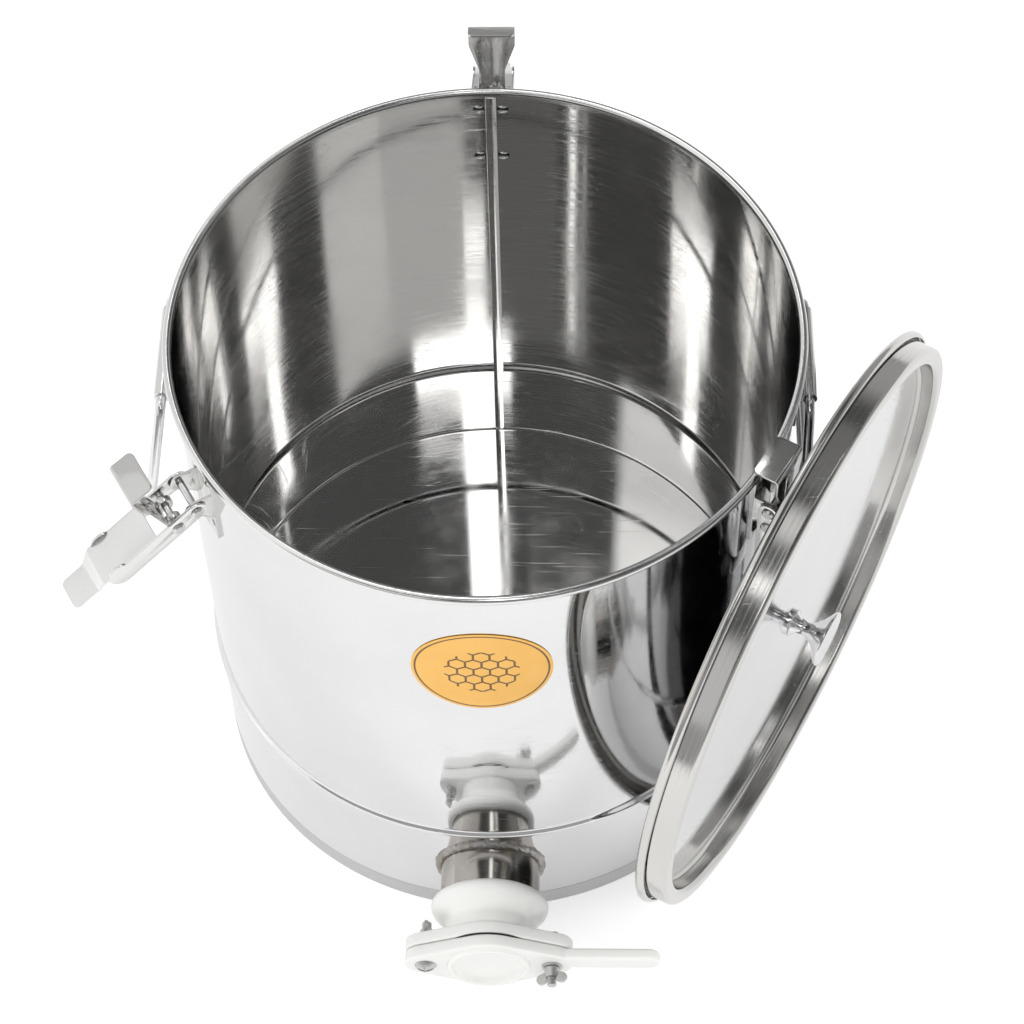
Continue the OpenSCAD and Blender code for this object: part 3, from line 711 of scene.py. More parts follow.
@dataclass(frozen=True)
class Steel(Finish):
    """Stainless steel, from mirror sheet to dull castings.

    The centre and axis place the grain and the satin band, in metres and as turns.
    """

    name: str
    pale: Colour
    dark: Colour
    rough: float
    smudge: float = 0.06
    scratch: float = 0.08
    scratch_depth: float = 0.000004
    wave: float = 0.0
    wave_scale: float = 5.0
    grain: Grain = Grain.NONE
    grain_scale: float = 900.0
    grain_depth: float = 0.00002
    centre: Triple = (0.0, 0.0, 0.0)
    axis: Triple = (0.0, 0.0, 0.0)
    worn: float = 0.0
    bands: tuple[SatinBand, ...] = ()
    scratch_scale: float = 16.0
    smudge_scale: float = 14.0
    wear_scale: float = 160.0
    grain_gloss: Pair = (-0.05, 0.07)

    def dress(self, sheet: NodeSheet, skin: Node) -> None:
        """Lays smudges, scratches, waves, grain, satin bands and worn edges on the steel.

        Args:
            sheet: Nodes of the material.
            skin: Shader of the material.
        """
        place = sheet.place()
        local = sheet.add(
            "ShaderNodeMapping", {"Vector": place, "Location": self.centre, "Rotation": self.axis},
            vector_type="TEXTURE",
        ).outputs[0]
        marks = Effect.marks(sheet, place, self.scratch_scale, self.smudge_scale, self.wave_scale)
        smudges = marks["Smudges"]
        colour = sheet.tint(smudges, self.pale, self.dark)
        rough = sheet.blend(smudges, self.rough, self.rough + self.smudge)
        lines = self.lines(sheet, local)
        normal = sheet.relief(marks["Scratches"], self.scratch_depth)
        if self.wave:
            normal = sheet.relief(marks["Waves"], self.wave, normal)
        for band in self.bands:
            satin = self.satin(sheet, local, band)
            colour = sheet.tint(satin, colour, band.pale)
            dulled = sheet.blend(smudges, band.rough, band.rough + self.smudge)
            rough = sheet.blend(satin, rough, dulled)
        rough = sheet.math("ADD", rough, sheet.math("MULTIPLY", marks["Scratches"], self.scratch))
        if lines:
            normal = sheet.relief(lines, self.grain_depth, normal)
            rough = sheet.math("ADD", rough, sheet.span(lines, *NOISE_SPAN, *self.grain_gloss))
        if self.worn:
            edges = Effect.wear(sheet, place, self.wear_scale)
            colour = sheet.tint(edges, colour, tuple(c + self.worn for c in self.pale))
        sheet.feed(skin, {"Base Color": colour, "Roughness": rough, "Normal": normal, "Metallic": 1.0})

    def satin(self, sheet: NodeSheet, local: Socket, band: SatinBand) -> Socket:
        """Masks a satin band.

        Args:
            sheet: Nodes of the material.
            local: Coordinates in the frame of the grain.
            band: The band.

        Returns:
            One on the band and nothing off it.
        """
        x, y, z = sheet.split(local)
        reach = sheet.vector("LENGTH", sheet.flat(x, y)) if band.measure is Measure.RADIUS else z
        return sheet.span(reach, band.start * MM, (band.start + band.blend) * MM)

    def lines(self, sheet: NodeSheet, local: Socket) -> Socket | None:
        """Adds the grain of the surface.

        Args:
            sheet: Nodes of the material.
            local: Coordinates in the frame of the grain.

        Returns:
            The value of the grain, or nothing where the surface has none.
        """
        if self.grain is Grain.TURNED:
            return Effect.turned(sheet, local, self.grain_scale)
        if self.grain is Grain.NONE:
            return None
        return Effect.drawn(sheet, local, self.grain_scale, self.grain.value)


@dataclass(frozen=True)
class WeldBead(Finish):
    """Rough laid weld with a faint heat tint."""

    name: str = "laid_weld"
    pale: Colour = (0.50, 0.49, 0.48)
    straw: Colour = (0.36, 0.33, 0.29)
    tint_scale: float = 60.0
    tint_detail: float = 3.0
    tint_cut: Pair = (0.35, 0.65)
    lump_scale: float = 420.0
    lump_detail: float = 4.0
    lump_depth: float = 0.0007
    gloss: Pair = (0.30, 0.55)

    def dress(self, sheet: NodeSheet, skin: Node) -> None:
        """Mixes grey and straw tints over a lumpy surface.

        Args:
            sheet: Nodes of the material.
            skin: Shader of the material.
        """
        place = sheet.place()
        heat = sheet.span(sheet.noise(place, self.tint_scale, self.tint_detail), *self.tint_cut)
        lumps = sheet.noise(place, self.lump_scale, self.lump_detail)
        sheet.feed(skin, {
            "Base Color": sheet.tint(heat, self.pale, self.straw),
            "Roughness": sheet.span(lumps, *NOISE_SPAN, *self.gloss),
            "Normal": sheet.relief(lumps, self.lump_depth),
            "Metallic": 1.0,
        })


@dataclass(frozen=True)
class Moulded(Finish):
    """Moulded plastic or rubber with a fine skin."""

    name: str
    pale: Colour
    dark: Colour
    rough: float
    uneven: float
    skin_scale: float
    skin_depth: float
    coat: float = 0.0
    cloud_scale: float = 35.0
    cloud_detail: float = 4.0
    skin_detail: float = 3.0
    refraction: float = 1.49

    def dress(self, sheet: NodeSheet, skin: Node) -> None:
        """Lays a faint unevenness of colour, gloss and skin on the moulding.

        Args:
            sheet: Nodes of the material.
            skin: Shader of the material.
        """
        place = sheet.place()
        cloud = sheet.span(sheet.noise(place, self.cloud_scale, self.cloud_detail), *NOISE_SPAN)
        grains = sheet.noise(place, self.skin_scale, self.skin_detail)
        sheet.feed(skin, {
            "Base Color": sheet.tint(cloud, self.pale, self.dark),
            "Roughness": sheet.span(cloud, 0.0, 1.0, self.rough, self.rough + self.uneven),
            "Normal": sheet.relief(grains, self.skin_depth),
            "Coat Weight": self.coat,
            "IOR": self.refraction,
        })


@dataclass(frozen=True)
class PrintedFilm(Finish):
    """Round amber label with a thin dark border and a patch of comb cells."""

    name: str
    centre_z: float
    radius: float
    border: float = 1.1
    inset: float = 1.6
    cell: float = 9.0
    line: float = 0.07
    patch: float = 21.0
    pale: Colour = (0.95, 0.53, 0.11)
    dark: Colour = (0.92, 0.50, 0.095)
    ink: Colour = (0.16, 0.07, 0.015)
    cloud_scale: float = 60.0
    cloud_detail: float = 3.0
    gloss: Pair = (0.32, 0.42)

    def dress(self, sheet: NodeSheet, skin: Node) -> None:
        """Draws the border ring and the comb cells from the place on the label.

        Args:
            sheet: Nodes of the material.
            skin: Shader of the material.
        """
        place = sheet.place()
        x, _, z = sheet.split(place)
        upright = sheet.math("SUBTRACT", sheet.math("MULTIPLY", z, 1 / MM), self.centre_z)
        flat = sheet.flat(sheet.math("MULTIPLY", x, 1 / MM), upright)
        reach = sheet.vector("LENGTH", flat)
        border = sheet.math("COMPARE", reach, self.radius - self.inset - self.border / 2)
        sheet.feed(border.node, {2: self.border / 2})
        inked = sheet.math("MAXIMUM", border, self.cells(sheet, flat, reach))
        film = sheet.span(sheet.noise(place, self.cloud_scale, self.cloud_detail), *NOISE_SPAN)
        sheet.feed(skin, {
            "Base Color": sheet.tint(inked, sheet.tint(film, self.pale, self.dark), self.ink),
            "Roughness": sheet.span(film, 0.0, 1.0, *self.gloss),
        })

    def cells(self, sheet: NodeSheet, flat: Socket, reach: Socket) -> Socket:
        """Gives the lines of six-sided cells inside a patch in the middle.

        Args:
            sheet: Material that the cells are drawn in.
            flat: Place on the label in millimetres.
            reach: Distance from the label's middle.

        Returns:
            One on the lines and nothing beside them.
        """
        half = (self.cell / 2, self.cell * math.sqrt(3) / 2, 1.0 / 2)
        low = tuple(-h for h in half)
        edges = []
        for grid in (flat, sheet.vector("ADD", flat, half)):
            x, y, _ = sheet.split(sheet.vector("ABSOLUTE", sheet.vector("WRAP", grid, half, low)))
            lean = sheet.math("MULTIPLY", y, math.sqrt(3) / 2)
            slant = sheet.math("ADD", sheet.math("MULTIPLY", x, 0.5), lean)
            edges.append(sheet.math("MAXIMUM", x, slant))
        drawn = sheet.math("GREATER_THAN", sheet.math("MINIMUM", *edges), self.cell * (0.5 - self.line))
        return sheet.math("MULTIPLY", drawn, sheet.math("LESS_THAN", reach, self.patch))


@dataclass
class Tank:
    """Wall with its bead and curled rim, back seam, floor, base hoop and label."""

    bore_r: float = 175.0
    wall: float = 0.8
    wall_low: float = 16.1
    height: float = 368.0
    bead_z: float = 97.0
    bead_out: float = 2.2
    bead_half: float = 4.5
    curl_r: float = 2.5
    curl_end: float = -115.0
    floor_z: float = 26.0
    floor_t: float = 1.0
    floor_edge: float = 0.9
    hoop_h: float = 15.5
    hoop_t: float = 2.0
    seam_w: float = 6.4
    seam_t: float = 0.35
    label_r: float = 39.0
    label_z: float = 290.0
    label_t: float = 0.28
    hole_z: float = 54.0
    hole_r: float = 30.25
    support: float = 1.0
    fit_gap: float = 0.1
    hoop_edge: float = 0.4
    bead_steps: int = 14
    curl_steps: int = 32
    edge_steps: int = 8
    label_rings: int = 20

    @property
    def outer_r(self) -> float:
        """Outer radius of the wall."""
        return self.bore_r + self.wall

    @property
    def curl_z(self) -> float:
        """Height of the curl's middle."""
        return self.height - self.curl_r

    def bead(self, radius: float) -> list[Pair]:
        """Draws the bead on one side of the wall.

        Args:
            radius: Radius of that side.

        Returns:
            The points from below.
        """
        rows = [self.bead_z - self.bead_half - self.support]
        steps = self.bead_steps
        rows += [self.bead_z + self.bead_half * (2 * i / steps - 1) for i in range(steps + 1)]
        rows.append(self.bead_z + self.bead_half + self.support)
        swell = [max(0.0, 1 - abs(z - self.bead_z) / self.bead_half) for z in rows]
        return [(radius + self.bead_out * (1 - math.cos(math.pi * s)) / 2, z) for s, z in zip(swell, rows)]

    def section(self) -> list[Pair]:
        """Draws the wall's section.

        Returns:
            The points, up the inside and down the outside.
        """
        middle = self.outer_r - self.wall + self.curl_r
        return [
            (self.bore_r, self.wall_low),
            *self.bead(self.bore_r),
            (self.bore_r, self.curl_z - self.support),
            *arc(middle, self.curl_z, self.curl_r, 180, self.curl_end, self.curl_steps),
            *arc(middle, self.curl_z, self.curl_r - self.wall, self.curl_end, 180, self.curl_steps),
            (self.outer_r, self.curl_z - self.support),
            *reversed(self.bead(self.outer_r)),
            (self.outer_r, self.wall_low),
        ]

    def build(self, mirror: Finish, satin: Finish) -> None:
        """Builds the wall, seam, floor, hoop and label.

        Args:
            mirror: Finish of the polished sheet.
            satin: Finish of the hoop.
        """
        wall = Bench.turn("tank_wall", self.section())
        hole = Bench.bar("hole", 0.0, 0.0, self.hole_r, 0.0, self.height)
        Bench.place(hole, Outlet.matrix(self.hole_z))
        Bench.fit(wall, hole, "DIFFERENCE")
        Bench.deliver(wall, mirror, "tank", Slot.TANK, ["tank_shell"])
        self.build_seam(mirror)
        self.build_floor(mirror)
        self.build_hoop(satin)
        self.build_label()

    def build_floor(self, mirror: Finish) -> None:
        """Turns the floor disc with its rounded upper edge.

        Args:
            mirror: Finish of the polished sheet.
        """
        rim = self.bore_r - self.fit_gap
        edge = self.floor_edge
        low = self.floor_z - self.floor_t
        floor = Bench.turn("tank_bottom", [
            (0.0, low),
            (rim, low),
            *arc(rim - edge, self.floor_z - edge, edge, 0, 90, self.edge_steps),
            (rim - edge - self.support, self.floor_z),
            (0.0, self.floor_z),
        ], closed=False)
        Bench.deliver(floor, mirror, "tank", Slot.TANK, ["tank_floor"])

    def build_hoop(self, satin: Finish) -> None:
        """Turns the base hoop with the upstand that carries the floor.

        Args:
            satin: Finish of the hoop.
        """
        edge = self.hoop_edge
        rim = self.bore_r - self.fit_gap
        inner = self.outer_r - self.hoop_t
        hoop = Bench.turn("foot_hoop", [
            (inner, edge),
            (inner + edge, 0.0),
            (self.outer_r - edge, 0.0),
            (self.outer_r, edge),
            (self.outer_r, self.hoop_h - edge),
            (self.outer_r - edge, self.hoop_h),
            (rim, self.hoop_h),
            (rim, self.floor_z - self.floor_t),
            (rim - self.hoop_t, self.floor_z - self.floor_t),
            (rim - self.hoop_t, self.hoop_h - self.hoop_t),
            (inner, self.hoop_h - self.hoop_t),
        ])
        Bench.deliver(hoop, satin, "tank", Slot.HOOP, ["base_hoop"])

    def build_seam(self, mirror: Finish) -> None:
        """Lays the low weld seam down the inside of the back wall.

        Args:
            mirror: Finish of the polished sheet.
        """
        low = -self.seam_w / 2
        outline = [
            (low, self.bore_r + self.wall / 2),
            (low, self.bore_r - self.seam_t / 4),
            (low / 2, self.bore_r - self.seam_t),
            (-low / 2, self.bore_r - self.seam_t),
            (-low, self.bore_r - self.seam_t / 4),
            (-low, self.bore_r + self.wall / 2),
        ]
        seam = Bench.plate("back_seam", outline, self.floor_z, self.curl_z - self.curl_r)
        Bench.deliver(seam, mirror, "tank", Slot.TANK, [])

    def build_label(self) -> None:
        """Bends a round film onto the front of the wall."""
        rings = [(self.label_r * i / self.label_rings, 0.0) for i in range(self.label_rings + 1)]
        film = Bench.turn("round_label", rings, SMALL_STEPS, closed=False)
        front = Matrix.Translation((0, -self.outer_r, self.label_z))
        Bench.place(film, front @ spin(90, "X"))
        for vertex in film.data.vertices:
            vertex.co.y = -math.sqrt((self.outer_r + self.label_t) ** 2 - vertex.co.x ** 2)
        Bench.apply(film, "SOLIDIFY", thickness=self.label_t, offset=-1.0)
        finish = PrintedFilm("label_print", self.label_z, self.label_r)
        Bench.deliver(film, finish, "tank", Slot.LABEL, ["front_label"])


@dataclass
class Outlet:
    """Outlet pipe and the weld that holds it to the wall."""

    height: float = 54.0
    radius: float = 30.15
    bore_r: float = 28.15
    tank_r: float = 175.8
    end: float = 208.8
    edge: float = 0.5
    weld_r: float = 31.5
    weld_size: float = 2.5
    wall: float = 0.8
    weld_steps: int = 240
    weld_round: int = 24
    spare: float = 5.0
    lump_size: float = 3.2
    lump_height: float = 2.4
    lump_level: float = 0.55
    lump_detail: int = 2

    @staticmethod
    def matrix(height: float) -> Matrix:
        """Gives the place of the outlet: local z runs outwards, local y is up."""
        return Matrix.Translation((0, 0, height)) @ spin(90, "X")

    def build(self, turned: Finish, weld: Finish) -> None:
        """Builds the pipe, cut to the tank's bore, and the weld round it.

        Args:
            turned: Finish of the pipe.
            weld: Finish of the weld.
        """
        start = self.tank_r - self.wall
        pipe = Bench.turn("outlet_tube", [
            (self.bore_r, start - self.spare),
            (self.radius, start - self.spare),
            (self.radius, self.end - self.edge),
            (self.radius - self.edge, self.end),
            (self.bore_r + self.edge, self.end),
            (self.bore_r, self.end - self.edge),
        ], SMALL_STEPS)
        Bench.place(pipe, self.matrix(self.height))
        top = 2 * self.height
        inside = Bench.turn("inside", [(0, 0), (start, 0), (start, top), (0, top)], closed=False)
        Bench.fit(pipe, inside, "DIFFERENCE")
        Bench.deliver(pipe, turned, "tank", Slot.WELD, ["outlet_pipe"])
        self.build_weld(weld)

    def build_weld(self, weld: Finish) -> None:
        """Lays a lumpy ring round the pipe and lets it follow the curve of the wall.

        Args:
            weld: Finish of the weld.
        """
        bead = Bench.turn("outlet_weld", [
            (self.weld_r + self.weld_size * x, self.weld_size * z)
            for x, z in ring(0, 0, 1, self.weld_round)
        ], self.weld_steps)
        lumps = bpy.data.textures.new("weld_lumps", "CLOUDS")
        lumps.noise_scale = self.lump_size
        lumps.noise_depth = self.lump_detail
        Bench.apply(
            bead, "DISPLACE", texture=lumps, texture_coords="LOCAL", strength=self.lump_height,
            mid_level=self.lump_level,
        )
        Bench.place(bead, self.matrix(self.height) @ Matrix.Translation((0, 0, self.tank_r)))
        for vertex in bead.data.vertices:
            vertex.co.y += self.tank_r - math.sqrt(self.tank_r ** 2 - vertex.co.x ** 2)
        Bench.deliver(bead, weld, "tank", Slot.WELD, ["pipe_weld"])


@dataclass
class Gate:
    """Moulded outlet gate: collar and flange, seal, swinging blade and its two clamped bolts."""

    outlet_z: float = 54.0
    collar_r: float = 35.7
    collar_back: float = 199.8
    collar_l: float = 25.0
    socket_l: float = 9.0
    socket_r: float = 30.25
    neck_r: float = 27.0
    bore_r: float = 22.0
    plate_r: float = 28.0
    ear_r: float = 12.5
    bolt_x: float = 38.0
    flange_t: float = 8.0
    blade_t: float = 8.0
    blade_gap: float = 0.6
    boss_r: float = 24.8
    boss_h: float = 2.5
    recess_r: float = 21.8
    recess_h: float = 3.5
    handle_reach: float = 103.0
    handle_w: float = 14.0
    handle_rise: float = 3.0
    bolt_r: float = 3.0
    slide: float = 0.3
    washer_t: float = 1.2
    hub_h: float = 6.0
    bolt_show: float = 5.0
    pitch: float = 1.0
    head_r: float = 6.5
    head_h: float = 3.4
    slot_w: float = 1.6
    flats: float = 10.0
    bolt_head_h: float = 4.0
    past: float = 1.0
    hole_gap: float = 0.05
    slot_gap: float = 0.5
    mouth_edge: float = 0.6
    flange_edge: float = 1.2
    blade_edge: float = 1.4
    grip_edge: float = 2.2
    grip_inset: float = 0.2
    boss_edge: float = 1.2
    boss_foot: float = 0.2
    recess_edge: float = 0.9
    recess_reach: float = 2.5
    recess_round: float = 2.3
    recess_lift: float = 0.2
    seal_w: float = 3.4
    seal_out: float = 0.25
    seal_edge: float = 0.2
    seal_gaps: Pair = (0.02, 0.03)
    thread_depth: float = 0.45
    slot_reach: float = 0.72
    slot_floor: float = 0.45
    head_edge: float = 0.4
    head_gap: float = 0.02
    nut_edge: float = 0.5
    washer_edge: float = 0.25
    soft_steps: int = 4
    grip_steps: int = 5
    collar_steps: int = 4
    ear_steps: int = 24
    plate_steps: int = 16
    edge_steps: int = 8
    lip_steps: int = 6
    lip_end: float = 160.0
    recess_start: float = -20.0
    notch_start: float = 0.125
    dome_steps: int = 12
    collar_shares: tuple[Pair, ...] = (
        (0.94, 0.0), (0.985, 0.05), (1.0, 0.12), (0.995, 0.2), (0.965, 0.29), (0.905, 0.39), (0.84, 0.48),
        (0.79, 0.56), (0.757, 0.66), (0.757, 0.8),
    )

    @property
    def flange_back(self) -> float:
        """Distance of the flange's back from the tank's axis."""
        return self.collar_back + self.collar_l

    @property
    def flange_face(self) -> float:
        """Distance of the flange's face from the tank's axis."""
        return self.flange_back + self.flange_t

    @property
    def blade_back(self) -> float:
        """Distance of the blade's back from the tank's axis."""
        return self.flange_face + self.blade_gap

    @property
    def blade_face(self) -> float:
        """Distance of the blade's face from the tank's axis."""
        return self.blade_back + self.blade_t

    @property
    def place(self) -> Matrix:
        """Place of the outlet's axis."""
        return Outlet.matrix(self.outlet_z)

    def outline(self) -> list[Pair]:
        """Draws the outline of flange and blade, a round middle between two ears.

        Returns:
            The points in order.
        """
        side = math.degrees(math.acos((self.plate_r - self.ear_r) / self.bolt_x))
        return [
            *arc(self.bolt_x, 0, self.ear_r, -side, side, self.ear_steps),
            *arc(0, 0, self.plate_r, side, 180 - side, self.plate_steps),
            *arc(-self.bolt_x, 0, self.ear_r, 180 - side, 180 + side, self.ear_steps),
            *arc(0, 0, self.plate_r, 180 + side, 360 - side, self.plate_steps),
        ]

    def build(self, plastic: Finish, rubber: Finish, steel: Finish) -> None:
        """Builds the gate's pieces.

        Args:
            plastic: Finish of body and blade.
            rubber: Finish of the seal.
            steel: Finish of the bolts and nuts.
        """
        self.build_body(plastic)
        self.build_seal(rubber)
        self.build_blade(plastic)
        self.build_screw(steel)
        self.build_bolt(steel)
        nuts = {"pivot_wing_nut": "pivot_nut", "clamp_wing_nut": "clamp_nut"}
        for node, body in nuts.items():
            nut = Bench.copy_node(f"{node}_cast", node, self.nut_edge)
            Bench.deliver(nut, steel, body, Slot.BOLT, [node], scaled=False)
        washer = Bench.copy_node("clamp_washer_pressed", "clamp_washer", self.washer_edge)
        Bench.deliver(washer, steel, "tank", Slot.BOLT, ["clamp_washer"], scaled=False)

    def build_body(self, plastic: Finish) -> None:
        """Turns the bell-shaped collar and joins the eared flange to it.

        Args:
            plastic: Finish of body and blade.
        """
        shares = [(self.collar_r * r, self.collar_back + self.collar_l * z) for r, z in self.collar_shares]
        body = Bench.turn("gate_moulding", [
            (self.socket_r, self.collar_back + self.mouth_edge),
            (self.socket_r + self.mouth_edge, self.collar_back),
            *through(shares, self.collar_steps),
            (self.neck_r, self.flange_face - self.past),
            (self.bore_r, self.flange_face - self.past),
            (self.bore_r, self.collar_back + self.socket_l),
            (self.socket_r, self.collar_back + self.socket_l),
        ], RING_STEPS)
        flange = Bench.plate("flange", self.outline(), self.flange_back, self.flange_face)
        Bench.soften(flange, self.flange_edge, self.soft_steps)
        low = self.flange_back - self.past
        high = self.flange_face + self.past
        Bench.fit(flange, Bench.bar("bore", 0, 0, self.bore_r, low, high), "DIFFERENCE")
        for x in (-self.bolt_x, self.bolt_x):
            hole = Bench.bar("hole", x, 0, self.bolt_r + self.hole_gap, low, high)
            Bench.fit(flange, hole, "DIFFERENCE")
        Bench.fit(body, flange, "UNION")
        Bench.place(body, self.place)
        Bench.deliver(body, plastic, "tank", Slot.GATE, ["gate_body"])

    def build_seal(self, rubber: Finish) -> None:
        """Turns the seal that shows as a dark line round the middle of the gate.

        Args:
            rubber: Finish of the seal.
        """
        inner = self.plate_r - self.seal_w
        outer = self.plate_r + self.seal_out
        edge = outer - self.seal_edge
        low = self.flange_face - self.seal_gaps[0]
        high = self.blade_back - self.seal_gaps[1]
        seal = Bench.turn("gate_ring", [
            (inner, low), (edge, low), (outer, (low + high) / 2), (edge, high), (inner, high),
        ], RING_STEPS)
        Bench.place(seal, self.place)
        Bench.deliver(seal, rubber, "tank", Slot.SEAL, ["gate_seal"])

    def build_blade(self, plastic: Finish) -> None:
        """Cuts the blade with its handle and open slot, and sets the raised boss into it.

        Args:
            plastic: Finish of body and blade.
        """
        blade = Bench.plate("gate_leaf", self.outline(), 0, self.blade_t)
        Bench.soften(blade, self.blade_edge, self.soft_steps)
        half = self.handle_w / 2
        grip = Bench.plate("grip", [
            (self.bolt_x, self.handle_rise - half),
            *arc(self.handle_reach - half, self.handle_rise, half, -90, 90, self.ear_steps),
            (self.bolt_x, self.handle_rise + half),
        ], self.grip_inset, self.blade_t - self.grip_inset)
        Bench.soften(grip, self.grip_edge, self.grip_steps)
        Bench.fit(blade, grip, "UNION")
        well = Bench.bar("well", 0, 0, self.boss_r - self.past, -self.past, self.blade_t + self.past)
        Bench.fit(blade, well, "DIFFERENCE")
        top = self.blade_t + self.boss_h
        deep = top - self.recess_h
        edge = self.boss_edge
        lip = self.recess_edge
        inset = self.recess_reach
        steps = self.edge_steps
        boss = Bench.turn("boss", [
            (0, 0), (self.boss_r - self.boss_foot, 0), (self.boss_r, self.boss_foot),
            *arc(self.boss_r - edge, top - edge, edge, 0, 90, steps),
            *arc(self.recess_r + lip, top - lip, lip, 90, self.lip_end, self.lip_steps),
            *arc(self.recess_r - inset, deep + inset, self.recess_round, self.recess_start, -90, steps),
            (0, deep + self.recess_lift),
        ], RING_STEPS, closed=False)
        Bench.fit(blade, boss, "UNION")
        pivot = Bench.bar("pivot", -self.bolt_x, 0, self.bolt_r + self.hole_gap, -self.past, top)
        Bench.fit(blade, pivot, "DIFFERENCE")
        slot = self.bolt_r + self.slot_gap
        swing = 2 * self.bolt_x
        end = -math.degrees(math.asin(2 * self.ear_r / swing))
        start = end * self.notch_start
        notch = Bench.plate("notch", [
            *arc(self.bolt_x, 0, slot, 0, 180, self.plate_steps),
            *arc(-self.bolt_x, 0, swing - slot, start, end, steps),
            *arc(-self.bolt_x, 0, swing + slot, end, start, steps),
        ], -self.past, top)
        Bench.fit(blade, notch, "DIFFERENCE")
        Bench.place(blade, self.place @ Matrix.Translation((0, 0, self.blade_back)))
        Bench.deliver(blade, plastic, "gate", Slot.GATE, ["gate_blade"])

    def thread(self, start: float, end: float) -> list[Pair]:
        """Draws a row of thread crests.

        Args:
            start: Where the thread starts.
            end: Where it ends.

        Returns:
            Radius and height of each point.
        """
        count = int(abs(end - start) / self.pitch)
        step = (end - start) / count
        root = self.bolt_r - self.thread_depth
        crests = []
        for i in range(count):
            crests += [(root, start + step * i), (self.bolt_r, start + step * (i + 0.5))]
        return [*crests, (root, end)]

    def build_screw(self, steel: Finish) -> None:
        """Turns the domed pivot screw with its thread and cuts crossed slots in its head.

        Args:
            steel: Finish of the bolts and nuts.
        """
        seat = self.blade_face + self.slide
        tail = self.flange_back - self.slide - self.hub_h - self.bolt_show
        dome = (self.head_r ** 2 + self.head_h ** 2) / (2 * self.head_h)
        edge = math.degrees(math.asin(self.head_r / dome))
        screw = Bench.turn("pivot_bolt", [
            (0, tail),
            *self.thread(tail, self.flange_back - self.slide),
            (self.bolt_r, self.flange_back),
            (self.bolt_r, seat),
            *arc(0, seat + self.head_h - dome, dome, 90 - edge, 90, self.dome_steps),
        ], BOLT_STEPS, closed=False)
        reach = self.slot_reach * self.head_r
        for across, along in ((reach, self.slot_w / 2), (self.slot_w / 2, reach)):
            cut = Bench.plate(
                "cut", [(-across, -along), (across, -along), (across, along), (-across, along)],
                seat + self.head_h * self.slot_floor, seat + 2 * self.head_h,
            )
            Bench.fit(screw, cut, "DIFFERENCE")
        Bench.place(screw, self.place @ Matrix.Translation((-self.bolt_x, 0, 0)))
        Bench.deliver(screw, steel, "tank", Slot.BOLT, ["pivot_screw"])

    def build_bolt(self, steel: Finish) -> None:
        """Turns the threaded clamp bolt and joins its six-sided head.

        Args:
            steel: Finish of the bolts and nuts.
        """
        tip = self.blade_face + 2 * self.slide + self.washer_t + self.hub_h + self.bolt_show
        foot = self.flange_back - self.past
        bolt = Bench.turn("clamp_stud", [
            (0, foot),
            (self.bolt_r, foot),
            (self.bolt_r, self.blade_face),
            *self.thread(self.blade_face + self.slide, tip),
            (0, tip),
        ], BOLT_STEPS, closed=False)
        corner = self.flats / 2 / math.cos(math.pi / 6)
        low = self.flange_back - self.bolt_head_h
        head = Bench.plate("head", ring(0, 0, corner, 6), low, self.flange_back - self.head_gap)
        Bench.soften(head, self.head_edge)
        Bench.fit(bolt, head, "UNION")
        Bench.place(bolt, self.place @ Matrix.Translation((self.bolt_x, 0, 0)))
        Bench.deliver(bolt, steel, "tank", Slot.BOLT, ["clamp_bolt"])


class Side(Enum):
    """Sides of the tank that its latches and handles are named after."""

    BACK = "back"
    LEFT = "left"
    RIGHT = "right"


